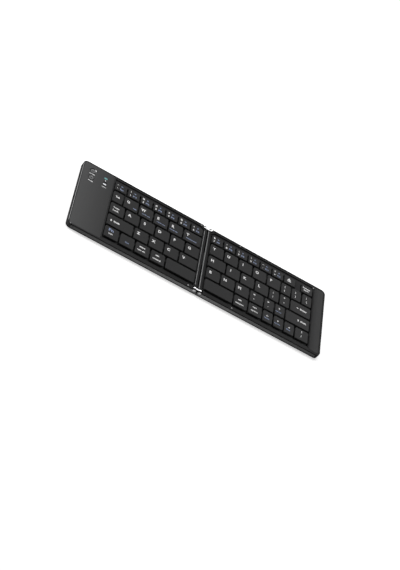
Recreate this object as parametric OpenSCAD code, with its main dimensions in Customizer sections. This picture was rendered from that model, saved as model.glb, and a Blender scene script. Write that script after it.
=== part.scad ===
// Folding keyboard, lying open and flat, in millimetres.
// The origin is on the table under the middle of the seam: +X to the right, +Y to the back, +Z up.

/* [Case] */
// Length of the open keyboard, from end to end
body_w = 276; // [276:1:290]
// Depth from the front edge to the back edge
body_d = 87; // [87:0.5:92]
// Height of the rim above the table
rim_z = 6.4; // [6.4:0.1:7.2]
// Radius of the four outer corners
corner_r = 4.5; // [3:0.5:6]
// Thickness of the walls of the lower shells
wall = 1.3; // [1:0.1:1.4]
// Height of the rubber feet below the lower shells
foot_h = 0.8; // [0.6:0.1:0.9]

/* [Keys] */
// Pitch of the letter keys across a row
key_pitch = 16.4; // [16:0.1:16.4]
// Gap between neighbouring caps in a row
key_gap = 1.5; // [1.2:0.1:2]
// Depth of a cap, front to back
cap_d = 13.8; // [13:0.1:14]
// Depth of a cap in the number row
number_cap_d = 9.9; // [9.5:0.1:10]
// Height of the cap tops above the rim
cap_rise = 0.8; // [0.4:0.1:1]
// Travel of a key
key_travel = 1.5; // [1:0.1:1.5]

/* [Hinge] */
// Distance from the middle of the seam to each hinge axis
axis_x = 3; // [3:0.1:3.2]
// Depth of the hinge axes below the rim
axis_drop = 1.7; // [1.6:0.1:1.8]
// Gap between the two halves at the seam
seam_gap = 1; // [0.9:0.1:1.2]
// Radius of the hinge pins
pin_r = 0.75; // [0.6:0.05:0.8]
// Radius of the round ends of the hinge links
lobe_r = 1.9; // [1.7:0.1:1.95]

/* [Buttons] */
// Radius of the two round buttons on the left cover
button_r = 2.7; // [2.4:0.1:2.9]
// Travel of the two round buttons
button_travel = 0.4; // [0.2:0.1:0.5]

/* [Hidden] */

// Facets of a round edge that is a true arc, of one that others turn against, and of one in a hull
round_fn = 48;
fine_fn = 96;
hull_fn = 32;
// A small overlap that makes a cut run clean through a face
eps = 0.05;

// Heights of the case
half_w = body_w / 2;
seam_x = seam_gap / 2;
edge_chamfer = 0.6;
floor_z = foot_h + 0.7;
split_z = rim_z - 0.7;
lip_h = 0.15;
lip_inset = 0.3;
ledge_z = rim_z - 1.2;
ledge_t = 0.8;
shelf_z = rim_z - 1.2;
shelf_gap = 0.1;

// Key field: its edge at the seam, its lengths and its row centres, back row first
field_x = 4.75;
left_field = 6;
right_field = 7.25;
row_y = [30.9, 17.05, 1.4, -14.25, -29.9];
small = 6 / 7;
left_rows = [
    [for (i = [0:6]) small],
    [0.75, 1, 1, 1, 1, 1.25],
    [1, 1, 1, 1, 1, 1],
    [1.75, 1, 1, 1, 1.25],
    [1, 1, 1, 1, 2]
];
// The eighth place of the right number row is a bare piece of the deck
bare_place = 7;
bare_w = right_field - 8 * small;
right_rows = [
    [for (i = [0:8]) i == bare_place ? bare_w : small],
    [1, 1, 1, 1, 1, 0.75, 0.75, 0.75],
    [1.25, 1, 1, 1, 0.75, 0.75, 1.5],
    [1, 1, 1, 1, 0.75, 0.75, 1.75],
    [2, 1, 1, 0.75, 0.75, 0.75, 1]
];

// Key well in the deck, and the opening that the caps pass through
well_x0 = 3.7;
well_y0 = -39.8;
well_y1 = 40;
well_corner_x = 4.1;
well_corner_y = 3.4;
well_wall = 1;
open_x0 = 5;
open_y0 = -37.5;
open_y1 = 36.5;
left_well_x1 = field_x + left_field * key_pitch;
right_margin = 0.55;
right_well_x1 = field_x + right_field * key_pitch + right_margin;
open_clear = 0.25;

// Caps, their stems and the guides that the stems slide in
cap_r = 1.2;
cap_top = rim_z + cap_rise;
cap_t = 1.1;
cap_wall = 1;
skirt_z = rim_z - 1.4;
stem_w = 3.8;
guide_w = 4.2;
guide_outer = 5.8;
dome_r = 2;
sheet_z = floor_z;
sheet_t = 0.4;
bed_z = sheet_z + sheet_t;
bed_t = 0.6;
bed_gap = 0.3;
dome_top = bed_z + 0.2;
stem_z = dome_top + key_travel + 0.05;
guide_top = cap_top - cap_t - key_travel - 0.1;
two_stems_from = 1.6;
stem_spread = 0.28;

// Hinge: rails along the seam, pockets for the links and a notch for the cable bridge
axis_z = rim_z - axis_drop;
rail_x1 = 4.6;
rail_z = axis_z - 1.9;
rail_r = 2.75;
pocket_y = 38.8;
pocket_gap = 0.4;
link_y0 = 39;
link_l = 3.1;
web_t = 2.2;
link_bore_gap = 0.05;
pin_y0 = 35.5;
fixed_gap = 0.02;
pin_head_r = 1.6;
pin_head_gap = 0.25;
pin_end_inset = 0.1;
bridge_half = 1.55;
bridge_l = 16;
bridge_low = 1.7;
bridge_high = 1.3;
barrel_r = 2;
flank_r = 2.25;
notch_gap = 0.4;
flex_w = 12;
flex_half = 0.8;
flex_t = 0.3;
flex_z = axis_z - 0.9;
flex_slot = 0.1;

// Covers that lie in shallow pockets of the frames
cover_t = 0.5;
cover_border = 1.1;
cover_gap = 0.15;
left_rib = 1.3;
right_rib = 0.9;
end_border = 2.2;

// Left cover: places of the buttons and of the two indicators
button_x = -127.1;
button_y = [34.6, 25.6];
button_gap = 0.25;
button_sunk = 0.15;
flange_r = button_r + 0.7;
flange_t = 0.6;
flange_gap = 0.2;
flange_z = shelf_z - flange_gap - flange_t;
lens_x = -113;
lens_y = [33.4, 25.6];
lens_w = 3.4;
lens_d = [2.4, 1.5];
lens_gap = 0.1;

// Electronics bay under the left cover
board_z = floor_z + 0.5;
board_t = 0.8;
board_x = -131.5;
board_y = 11;
board_w = 26.5;
board_d = 30;
switch_w = 4;
switch_top = flange_z - button_travel - eps;
lamp_w = 1.6;
lamp_h = 1;
chip_x = -119;
chip_y = 18;
chip_w = 6;
chip_h = 1.4;
board_slot_gap = 0.3;
socket_x = -117;
socket_w = 8.9;
socket_h = 3.2;
socket_l = 7.3;
socket_z = floor_z + 0.3;
socket_wall = 0.3;
socket_gap = 0.15;
socket_sunk = 0.1;
socket_back = 1;
tongue_w = 6.7;
tongue_t = 0.7;
tongue_sunk = 1;
battery_x = -131.5;
battery_y = -38;
battery_w = 26;
battery_d = 46;
battery_t = 3.3;

// Feet, screws and magnets, given for the right half and mirrored to the left
foot_w = 14;
foot_d = 5;
foot_places = [[20, -36.5], [20, 36.5], [122, -36.5], [122, 36.5]];
foot_sunk = 0.2;
screw_places = [[2.6, -28], [2.6, 28], [134.2, -39.2], [134.2, 39.2]];
screw_r = 0.8;
screw_head_r = 1.6;
screw_head_t = 0.45;
screw_top = axis_z - 0.4;
post_r = 2.2;
magnet_w = 1.8;
magnet_d = 12;
magnet_h = 3.4;
magnet_places = [[134.8, -20], [134.8, 20]];

// Sum of the first n entries of a list
function lead(list, n) = n == 0 ? 0 : list[n - 1] + lead(list, n - 1);
// Widths of one row, middle of one key and depth of its cap; side is -1 for the left half
function widths(side, row) = side < 0 ? left_rows[row] : right_rows[row];
function row_start(side) = side < 0 ? -field_x - left_field * key_pitch : field_x;
function cap_x(side, row, n) =
    row_start(side) + key_pitch * (lead(widths(side, row), n) + widths(side, row)[n] / 2);
function cap_depth(row) = row == 0 ? number_cap_d : cap_d;
function is_key(side, row, n) = !(side > 0 && row == 0 && n == bare_place);
// Places of a key's stems, one or two by its width in units
function stems(w) = w > two_stems_from ? [-1, 1] * stem_spread * w * key_pitch : [0];

// Flat outline of the right half, drawn in by inset, with round outer corners
module half_outline(inset, fn = round_fn) {
    x0 = seam_x + inset;
    x1 = half_w - inset;
    y1 = body_d / 2 - inset;
    r = corner_r - inset;
    translate([x0, -y1]) square([x1 - r - x0, 2 * y1]);
    translate([x0, r - y1]) square([x1 - x0, 2 * (y1 - r)]);
    for (s = [-1, 1]) translate([x1 - r, s * (y1 - r)]) circle(r, $fn = fn);
}

// A box with upright round corners, standing on z = 0 around the Z axis
module round_box(w, d, h, r) {
    translate([-w / 2 + r, -d / 2, 0]) cube([w - 2 * r, d, h]);
    translate([-w / 2, -d / 2 + r, 0]) cube([w, d - 2 * r, h]);
    for (sx = [-1, 1], sy = [-1, 1])
        translate([sx * (w / 2 - r), sy * (d / 2 - r), 0]) cylinder(r = r, h = h, $fn = round_fn);
}

// A bar with round ends along X, standing on z = 0
module stadium(w, d, h) {
    translate([-(w - d) / 2, -d / 2, 0]) cube([w - d, d, h]);
    for (s = [-1, 1]) translate([s * (w - d) / 2, 0, 0]) cylinder(d = d, h = h, $fn = round_fn);
}

// Turns a profile drawn in X and Z into a bar along Y, from y0 over a length
module along_y(y0, length) {
    translate([0, y0 + length, 0]) rotate([90, 0, 0]) linear_extrude(length) children();
}

// Both ends of the hinge: a piece drawn at the back, and its mirror image at the front
module both_ends() {
    children();
    mirror([0, 1, 0]) children();
}

// Space in a half where a link turns: round below its axis and open to the seam and to the top
module link_pocket() {
    r = lobe_r + pocket_gap;
    both_ends() along_y(pocket_y, body_d / 2 + eps - pocket_y) translate([axis_x, axis_z]) {
        circle(r, $fn = round_fn);
        translate([-axis_x, -r]) square([axis_x, r + rim_z]);
        square([r, rim_z]);
    }
}

// Outline of the key well, with its two seam corners cut off beside the hinges
module well_outline(x1, grow = 0) {
    x0 = well_x0 - grow;
    y0 = well_y0 - grow;
    y1 = well_y1 + grow;
    polygon([
        [x0, y0 + well_corner_y], [x0 + well_corner_x, y0], [x1 + grow, y0],
        [x1 + grow, y1], [x0 + well_corner_x, y1], [x0, y1 - well_corner_y]
    ]);
}

// Lower shell of one half, with its pockets for the hinge, the feet and the screws
module tray() {
    difference() {
        hull() {
            translate([0, 0, foot_h + edge_chamfer])
                linear_extrude(split_z - foot_h - edge_chamfer) half_outline(0, hull_fn);
            translate([0, 0, foot_h]) linear_extrude(eps) half_outline(edge_chamfer, hull_fn);
        }
        translate([0, 0, floor_z]) linear_extrude(rim_z) half_outline(wall);
        translate([0, -body_d, rail_z]) cube([rail_x1 + eps, 2 * body_d, rim_z]);
        link_pocket();
        for (p = foot_places) translate([p.x, p.y, foot_h - eps])
            stadium(foot_w, foot_d, foot_sunk + eps);
        for (p = screw_places) translate([p.x, p.y, 0]) {
            cylinder(r = screw_r + eps, h = rim_z, $fn = round_fn);
            cylinder(r = screw_head_r + eps, h = foot_h + screw_head_t, $fn = round_fn);
        }
    }
}

// Cross-section of the seam rail: flat below the axis and rounded above it, so that it clears
// the other half as they fold
module rail_profile() {
    intersection() {
        translate([seam_x, rail_z]) square([rail_x1 - seam_x, rim_z - rail_z]);
        union() {
            translate([axis_x, axis_z]) circle(rail_r, $fn = fine_fn);
            translate([axis_x, rail_z]) square([rail_x1, rim_z]);
            translate([0, rail_z]) square([rail_x1, axis_z - rail_z]);
        }
    }
}

// Seam rail with the notch for the cable bridge, where only the hinge barrel is left
module seam_rail() {
    difference() {
        along_y(-body_d / 2, body_d) rail_profile();
        along_y(-bridge_l / 2 - notch_gap, bridge_l + 2 * notch_gap) difference() {
            translate([0, rail_z - eps]) square([axis_x, rim_z]);
            translate([axis_x, axis_z]) circle(barrel_r, $fn = round_fn);
        }
    }
}

// Deck of one half: rim, well walls, ledge, seam rail and screw posts.
// well_x1 is the outer end of the well, and cover_x0 and cover_in the pocket of the cover.
module frame(well_x1, cover_x0, cover_in) {
    difference() {
        union() {
            translate([0, 0, split_z + lip_h]) linear_extrude(rim_z - split_z - lip_h) difference() {
                half_outline(0);
                translate([0, -body_d]) square([rail_x1 - eps, 2 * body_d]);
            }
            translate([0, 0, split_z]) linear_extrude(lip_h + eps) difference() {
                half_outline(lip_inset);
                translate([0, -body_d]) square([rail_x1 - eps, 2 * body_d]);
            }
            intersection() {
                translate([0, 0, ledge_z - ledge_t]) linear_extrude(rim_z - ledge_z + ledge_t)
                    well_outline(well_x1, well_wall);
                translate([rail_x1 - eps, -body_d, 0]) cube([body_w, 2 * body_d, body_w]);
            }
            translate([0, 0, shelf_z]) linear_extrude(rim_z - shelf_z) intersection() {
                half_outline(wall + shelf_gap);
                translate([well_x1, -body_d]) square([body_w, 2 * body_d]);
            }
            seam_rail();
            for (p = screw_places) if (p.x > rail_x1) translate([p.x, p.y, floor_z])
                cylinder(r = post_r, h = rim_z - floor_z - cover_t, $fn = round_fn);
        }
        translate([0, 0, ledge_z]) linear_extrude(rim_z) well_outline(well_x1);
        translate([0, 0, rim_z - cover_t]) linear_extrude(rim_z) cover_outline(cover_x0, cover_in);
        link_pocket();
        both_ends() along_y(pin_y0, body_d) translate([axis_x, axis_z])
            circle(pin_r + fixed_gap, $fn = round_fn);
        for (p = screw_places) translate([p.x, p.y, 0])
            cylinder(r = screw_r + fixed_gap, h = screw_top, $fn = round_fn);
    }
}

// Flat outline of the cover at the outer end of the right half
module cover_outline(x0, inset) {
    intersection() {
        half_outline(inset);
        translate([x0, -body_d]) square([body_w, 2 * body_d]);
    }
}

// Opening in the ledge that the caps of one half pass through
module key_opening(x1) {
    translate([open_x0, open_y0, 0]) cube([x1 - open_x0, open_y1 - open_y0, rim_z]);
}

// One cap with its stems, by half, row and place in the row
module cap(side, row, n) {
    w = widths(side, row)[n];
    cap_w = w * key_pitch - key_gap;
    d = cap_depth(row);
    translate([cap_x(side, row, n), row_y[row], 0]) {
        difference() {
            translate([0, 0, skirt_z]) round_box(cap_w, d, cap_top - skirt_z, cap_r);
            translate([-cap_w / 2 + cap_wall, -d / 2 + cap_wall, 0])
                cube([cap_w - 2 * cap_wall, d - 2 * cap_wall, cap_top - cap_t]);
        }
        for (x = stems(w)) translate([x - stem_w / 2, -stem_w / 2, stem_z])
            cube([stem_w, stem_w, cap_top - cap_t / 2 - stem_z]);
    }
}

// Caps of one half at a list of [row, place]
module caps(side, places) {
    for (p = places) cap(side, p[0], p[1]);
}

// Plate under the keys of one half, with a square guide for each stem
module key_bed(side) {
    x0 = side < 0 ? -left_well_x1 + open_clear : rail_x1 + bed_gap;
    x1 = side < 0 ? -rail_x1 - bed_gap : right_well_x1 - open_clear;
    difference() {
        union() {
            translate([x0, open_y0, bed_z]) cube([x1 - x0, open_y1 - open_y0, bed_t]);
            each_stem(side) translate([0, 0, bed_z]) centred_post(guide_outer, guide_top - bed_z);
        }
        each_stem(side) centred_post(guide_w, rim_z);
    }
}

// Puts its child at every stem of one half
module each_stem(side) {
    for (row = [0:4], n = [0:len(widths(side, row)) - 1]) if (is_key(side, row, n))
        for (x = stems(widths(side, row)[n]))
            translate([cap_x(side, row, n) + x, row_y[row], 0]) children();
}

// A square post around the Z axis, standing on z = 0
module centred_post(w, h) {
    translate([-w / 2, -w / 2, 0]) cube([w, w, h]);
}

// Rubber sheet under the keys, with its domes drawn pressed down
module dome_sheet(side) {
    x0 = side < 0 ? -left_well_x1 + open_clear : rail_x1 + bed_gap;
    x1 = side < 0 ? -rail_x1 - bed_gap : right_well_x1 - open_clear;
    translate([x0, open_y0, sheet_z]) cube([x1 - x0, open_y1 - open_y0, sheet_t]);
    each_stem(side) translate([0, 0, sheet_z + sheet_t / 2])
        cylinder(r = dome_r, h = dome_top - sheet_z - sheet_t / 2, $fn = round_fn);
}

// The four rubber feet of the right half
module feet() {
    for (p = foot_places) translate([p.x, p.y, 0]) stadium(foot_w, foot_d, foot_h + foot_sunk);
}

// The four screws of the right half, heads in the lower shell
module screws() {
    for (p = screw_places) translate([p.x, p.y, 0]) {
        translate([0, 0, foot_h]) cylinder(r = screw_head_r, h = screw_head_t, $fn = round_fn);
        translate([0, 0, foot_h]) cylinder(r = screw_r, h = screw_top - foot_h, $fn = round_fn);
    }
}

// The two hinge pins of the right half, with round heads outside the links
module hinge_pins() {
    head_y = link_y0 + link_l + pin_head_gap;
    both_ends() {
        along_y(pin_y0, head_y + eps - pin_y0) translate([axis_x, axis_z])
            circle(pin_r, $fn = round_fn);
        along_y(head_y, body_d / 2 - pin_end_inset - head_y) translate([axis_x, axis_z])
            circle(pin_head_r, $fn = round_fn);
    }
}

// One round button: its disc and the flange that keeps it under the cover
module button(y) {
    translate([button_x, y, flange_z]) {
        cylinder(r = button_r, h = rim_z - button_sunk - flange_z, $fn = round_fn);
        cylinder(r = flange_r, h = flange_t, $fn = round_fn);
    }
}

module left_tray() {
    color([0.2, 0.2, 0.21]) difference() {
        mirror([1, 0, 0]) tray();
        translate([socket_x, body_d / 2 - wall - eps, socket_z + socket_h / 2])
            rotate([-90, 0, 0]) stadium(socket_w + socket_gap, socket_h + socket_gap, 2 * wall);
    }
}

module left_frame() {
    color([0.16, 0.16, 0.17]) difference() {
        mirror([1, 0, 0]) difference() {
            frame(left_well_x1, left_well_x1 + left_rib, cover_border);
            key_opening(left_well_x1 - open_clear);
        }
        for (y = button_y) translate([button_x, y, 0])
            cylinder(r = button_r + button_gap, h = 2 * rim_z, $fn = round_fn);
        for (i = [0, 1]) translate([lens_x - lens_w / 2, lens_y[i] - lens_d[i] / 2, 0])
            cube([lens_w, lens_d[i], 2 * rim_z]);
    }
}

module left_panel() {
    color([0.3, 0.3, 0.31]) difference() {
        mirror([1, 0, 0]) translate([0, 0, rim_z - cover_t]) linear_extrude(cover_t)
            cover_outline(left_well_x1 + left_rib + cover_gap, cover_border + cover_gap);
        for (y = button_y) translate([button_x, y, 0])
            cylinder(r = button_r + button_gap, h = 2 * rim_z, $fn = round_fn);
        for (i = [0, 1]) translate([lens_x - lens_w / 2, lens_y[i] - lens_d[i] / 2, 0])
            cube([lens_w, lens_d[i], 2 * rim_z]);
    }
}

module left_key_bed() {
    color([0.12, 0.12, 0.12]) key_bed(-1);
}

module left_dome_sheet() {
    color([0.75, 0.75, 0.72]) dome_sheet(-1);
}

module main_board() {
    color([0.05, 0.25, 0.12]) difference() {
        union() {
            translate([board_x, board_y, board_z]) cube([board_w, board_d, board_t]);
            for (y = button_y) translate([button_x, y, board_z + board_t / 2])
                centred_post(switch_w, switch_top - board_z - board_t / 2);
            for (y = lens_y) translate([lens_x, y, board_z + board_t / 2])
                centred_post(lamp_w, lamp_h);
            translate([chip_x, chip_y, board_z + board_t / 2]) centred_post(chip_w, chip_h);
        }
        translate([
            socket_x - socket_w / 2 - board_slot_gap, body_d / 2 - socket_l - 2 * board_slot_gap, 0
        ]) cube([socket_w + 2 * board_slot_gap, body_d, rim_z]);
    }
}

module battery() {
    color([0.6, 0.62, 0.65]) translate([battery_x, battery_y, floor_z])
        cube([battery_w, battery_d, battery_t]);
}

// Charging socket in the back wall: a metal shell open to the back, with a tongue inside
module charge_socket() {
    color([0.7, 0.7, 0.72])
        translate([socket_x, body_d / 2 - socket_sunk, socket_z + socket_h / 2]) rotate([90, 0, 0]) {
            difference() {
                stadium(socket_w, socket_h, socket_l);
                translate([0, 0, -eps]) stadium(
                    socket_w - 2 * socket_wall, socket_h - 2 * socket_wall, socket_l - socket_back
                );
            }
            translate([-tongue_w / 2, -tongue_t / 2, tongue_sunk])
                cube([tongue_w, tongue_t, socket_l - tongue_sunk - socket_back / 2]);
        }
}

module power_button() {
    color([0.25, 0.25, 0.26]) button(button_y[0]);
}

module pair_button() {
    color([0.25, 0.25, 0.26]) button(button_y[1]);
}

module indicator_lenses() {
    color([0.55, 0.85, 0.8]) for (i = [0, 1])
        translate([lens_x - lens_w / 2 + lens_gap, lens_y[i] - lens_d[i] / 2 + lens_gap, shelf_z])
            cube([lens_w - 2 * lens_gap, lens_d[i] - 2 * lens_gap, rim_z - shelf_z]);
}

module left_feet() {
    color([0.08, 0.08, 0.08]) mirror([1, 0, 0]) feet();
}

module left_magnets() {
    color([0.7, 0.7, 0.72]) mirror([1, 0, 0]) for (p = magnet_places)
        translate([p.x, p.y - magnet_d / 2, floor_z]) cube([magnet_w, magnet_d, magnet_h]);
}

module left_screws() {
    color([0.6, 0.6, 0.62]) mirror([1, 0, 0]) screws();
}

// The front and back links: two round ends on the two hinge axes, joined by a web
module hinge_links() {
    color([0.85, 0.85, 0.86]) both_ends() along_y(link_y0, link_l) translate([0, axis_z]) difference() {
        union() {
            for (s = [-1, 1]) translate([s * axis_x, 0]) circle(lobe_r, $fn = fine_fn);
            translate([-axis_x, -web_t / 2]) square([2 * axis_x, web_t]);
        }
        for (s = [-1, 1]) translate([s * axis_x, 0]) circle(pin_r + link_bore_gap, $fn = round_fn);
    }
}

// Spine over the flat cable in the middle of the seam, hollowed along both flanks so that the
// two halves turn past it
module cable_bridge() {
    color([0.2, 0.2, 0.2]) difference() {
        along_y(-bridge_l / 2, bridge_l) translate([0, axis_z]) difference() {
            translate([-bridge_half, -bridge_low]) square([2 * bridge_half, bridge_low + bridge_high]);
            for (s = [-1, 1]) translate([s * axis_x, 0]) circle(flank_r, $fn = round_fn);
        }
        translate([-axis_x, -flex_w / 2 - flex_slot, flex_z - flex_slot])
            cube([2 * axis_x, flex_w + 2 * flex_slot, flex_t + 2 * flex_slot]);
    }
}

// The part of the flat cable that lies in the spine
module flex_cable() {
    color([0.7, 0.45, 0.15]) translate([-flex_half, -flex_w / 2, flex_z])
        cube([2 * flex_half, flex_w, flex_t]);
}

module left_hinge_pins() {
    color([0.75, 0.75, 0.76]) mirror([1, 0, 0]) hinge_pins();
}

module right_hinge_pins() {
    color([0.75, 0.75, 0.76]) hinge_pins();
}

module right_tray() {
    color([0.2, 0.2, 0.21]) tray();
}

module right_frame() {
    bare_x = row_start(1) + key_pitch * lead(right_rows[0], bare_place);
    bare_y = row_y[0] - number_cap_d / 2;
    color([0.16, 0.16, 0.17]) difference() {
        frame(right_well_x1, right_well_x1 + right_rib, end_border);
        difference() {
            key_opening(right_well_x1 - open_clear);
            translate([bare_x, bare_y, -eps])
                cube([bare_w * key_pitch, body_d, body_w]);
        }
    }
}

module right_end_cover() {
    color([0.28, 0.28, 0.29]) translate([0, 0, rim_z - cover_t]) linear_extrude(cover_t)
        cover_outline(right_well_x1 + right_rib + cover_gap, end_border + cover_gap);
}

module right_key_bed() {
    color([0.12, 0.12, 0.12]) key_bed(1);
}

module right_dome_sheet() {
    color([0.75, 0.75, 0.72]) dome_sheet(1);
}

module right_feet() {
    color([0.08, 0.08, 0.08]) feet();
}

module right_screws() {
    color([0.6, 0.6, 0.62]) screws();
}

// Caps, by half, row from the back and place from the left
module key_cap(side, places) {
    color([0.22, 0.22, 0.23]) caps(side, places);
}

module key_q() key_cap(-1, [[1, 1]]);
module key_w() key_cap(-1, [[1, 2]]);
module key_e() key_cap(-1, [[1, 3]]);
module key_r() key_cap(-1, [[1, 4]]);
module key_t() key_cap(-1, [[1, 5]]);
module key_y() key_cap(1, [[1, 0]]);
module key_u() key_cap(1, [[1, 1]]);
module key_i() key_cap(1, [[1, 2]]);
module key_o() key_cap(1, [[1, 3]]);
module key_p() key_cap(1, [[1, 4]]);
module key_a() key_cap(-1, [[2, 1]]);
module key_s() key_cap(-1, [[2, 2]]);
module key_d() key_cap(-1, [[2, 3]]);
module key_f() key_cap(-1, [[2, 4]]);
module key_g() key_cap(-1, [[2, 5]]);
module key_h() key_cap(1, [[2, 0]]);
module key_j() key_cap(1, [[2, 1]]);
module key_k() key_cap(1, [[2, 2]]);
module key_l() key_cap(1, [[2, 3]]);
module key_z() key_cap(-1, [[3, 1]]);
module key_x() key_cap(-1, [[3, 2]]);
module key_c() key_cap(-1, [[3, 3]]);
module key_v() key_cap(-1, [[3, 4]]);
module key_b() key_cap(1, [[3, 0]]);
module key_n() key_cap(1, [[3, 1]]);
module key_m() key_cap(1, [[3, 2]]);
module left_space_bar() key_cap(-1, [[4, 4]]);
module right_space_bar() key_cap(1, [[4, 0]]);
module left_number_keys() key_cap(-1, [for (n = [0:6]) [0, n]]);
module left_side_keys() key_cap(-1, [[1, 0], [2, 0], [3, 0], [4, 0], [4, 1], [4, 2], [4, 3]]);
module right_number_keys() key_cap(1, [for (n = [0:8]) if (n != bare_place) [0, n]]);
module right_side_keys() key_cap(1, [[2, 6], [3, 6], [4, 1], [4, 2], [4, 6]]);
module punctuation_keys() key_cap(1, [[1, 5], [1, 6], [1, 7], [2, 4], [2, 5], [3, 3], [3, 4]]);
module arrow_keys() key_cap(1, [[3, 5], [4, 3], [4, 4], [4, 5]]);

left_tray();
left_frame();
left_panel();
left_key_bed();
left_dome_sheet();
main_board();
battery();
charge_socket();
power_button();
pair_button();
indicator_lenses();
left_feet();
left_magnets();
left_screws();
hinge_links();
cable_bridge();
flex_cable();
left_hinge_pins();
right_hinge_pins();
right_tray();
right_frame();
right_end_cover();
right_key_bed();
right_dome_sheet();
right_feet();
right_screws();
key_q();
key_w();
key_e();
key_r();
key_t();
key_y();
key_u();
key_i();
key_o();
key_p();
key_a();
key_s();
key_d();
key_f();
key_g();
key_h();
key_j();
key_k();
key_l();
key_z();
key_x();
key_c();
key_v();
key_b();
key_n();
key_m();
left_space_bar();
right_space_bar();
left_number_keys();
left_side_keys();
right_number_keys();
right_side_keys();
punctuation_keys();
arrow_keys();
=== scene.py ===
"""Folding keyboard: the visible surfaces, materials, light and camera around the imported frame.

Shapes are worked out in millimetres with numpy, in the frame of the part: the origin on the table
under the middle of the seam, +X to the right, +Y to the back row, +Z up. The right half is drawn
and mirrored for the left one.
"""

import bpy
import numpy as np
from mathutils import Matrix


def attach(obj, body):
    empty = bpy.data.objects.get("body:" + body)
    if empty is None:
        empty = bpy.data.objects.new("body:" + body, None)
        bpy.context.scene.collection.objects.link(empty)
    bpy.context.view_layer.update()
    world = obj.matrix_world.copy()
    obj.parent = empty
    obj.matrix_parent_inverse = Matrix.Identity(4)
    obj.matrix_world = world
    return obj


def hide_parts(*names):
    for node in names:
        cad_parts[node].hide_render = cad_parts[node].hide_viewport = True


bl_info = {
    "name": "Folding Keyboard",
    "version": (1, 0, 0),
    "blender": (4, 5, 0),
    "location": "3D View > Sidebar > Keyboard",
    "description": "Makes a slim folding keyboard, piece by piece, around its packed frame",
    "category": "Object",
}

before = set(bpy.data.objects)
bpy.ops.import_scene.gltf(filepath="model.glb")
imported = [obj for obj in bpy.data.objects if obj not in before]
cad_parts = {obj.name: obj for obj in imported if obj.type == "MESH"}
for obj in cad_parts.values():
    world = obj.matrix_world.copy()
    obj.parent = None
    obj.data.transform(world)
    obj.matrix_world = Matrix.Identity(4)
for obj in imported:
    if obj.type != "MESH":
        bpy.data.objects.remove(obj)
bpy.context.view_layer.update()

MM = 0.001

# Case, in millimetres. The main sizes are the part's own; the finer forms have theirs only here
HALF_W = 138.0
HALF_D = 43.5
SEAM = 0.5
SEAM_LOW = 0.15
RIM = 6.4
FOOT = 0.8
FLOOR = 1.5
SPLIT = 5.7
LIP = 5.85
LEDGE = 5.2
LEDGE_LOW = 4.4
WALL = 1.3
CORNER = 4.5
RAIL_X = 4.6
RAIL_LOW = 2.8
RAIL_R = 2.75
AXIS_X = 3.0
AXIS_Z = 4.7
POCKET_Y = 38.8
POCKET_R = 2.3
# Outer ends of the front and the back link
LINK_ENDS = (41.3, 42.0)
LINK_DEPTH = 1.6
COVER_LOW = 5.9
# Key well: both ends in X for each half, both in Y, and how much its seam corners are cut off
WELL = {-1: (3.7, 103.15), 1: (3.7, 124.2)}
WELL_Y = (-39.8, 40.0)
WELL_CUT = (4.1, 3.4)
OPEN_Y = (-37.5, 36.5)
# Closed place in the back row: both ends in X, and its front edge
BARE = (103.15, 109.6, 25.95)
# End covers: inner edge in X, and the border left round them
COVER = {-1: (104.45, 1.1), 1: (125.1, 2.2)}
COVER_GAP = 0.15
BRIDGE_Y = 8.0
BARREL_R = 2.0
FLANK_R = 2.25
FEET = ((20.0, -36.5), (20.0, 36.5), (122.0, -36.5), (122.0, 36.5))
SCREWS = ((2.6, -28.0), (2.6, 28.0), (134.2, -39.2), (134.2, 39.2))
BAND_END = 131.3
GROOVE = 1.85
BUTTON_X = -127.1
BUTTON_Y = {"power_button": 34.6, "pair_button": 25.6}
LENS_X = -113.0
# Lenses: middle in Y, depth and finish
LENSES = ((33.4, 2.4, "teal lamp"), (25.6, 1.5, "white lamp"))
LENS_W = 3.4
SOCKET = (-117.0, 3.4)
SOCKET_HALF = (4.45, 1.6)
BUTTON_R = 2.6
BUTTON_TOP = 6.25
DISH = 0.3
BUTTON_HOLE = 2.95
FLANGE_R = 3.4
PAD_HALF = (7.0, 2.5)
SCREW_HEAD = 1.6
SCREW_SHANK = 0.8
LINK_R = 1.9
HALF_WEB = 1.45
PIN_R = 0.75
PIN_HEAD = 1.6

# Keys: widths in units of the pitch, back row first, from left to right
FIELD_X = 4.75
ROW_Y = (30.9, 17.05, 1.4, -14.25, -29.9)
SMALL = 6 / 7
BARE_PLACE = 7
LEFT_ROWS = (
    (SMALL,) * 7,
    (0.75, 1, 1, 1, 1, 1.25),
    (1, 1, 1, 1, 1, 1),
    (1.75, 1, 1, 1, 1.25),
    (1, 1, 1, 1, 2),
)
RIGHT_ROWS = (
    (SMALL,) * 7 + (7.25 - 8 * SMALL, SMALL),
    (1, 1, 1, 1, 1, 0.75, 0.75, 0.75),
    (1.25, 1, 1, 1, 0.75, 0.75, 1.5),
    (1, 1, 1, 1, 0.75, 0.75, 1.75),
    (2, 1, 1, 0.75, 0.75, 0.75, 1),
)
CAP_TOP = 7.19
CAP_SHIFT = (-0.2, 0.15)
INK = 0.008
CAP_UNDER = 6.1
SKIRT = 5.0
STEM_LOW = 3.65
STEM = 3.8

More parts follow.
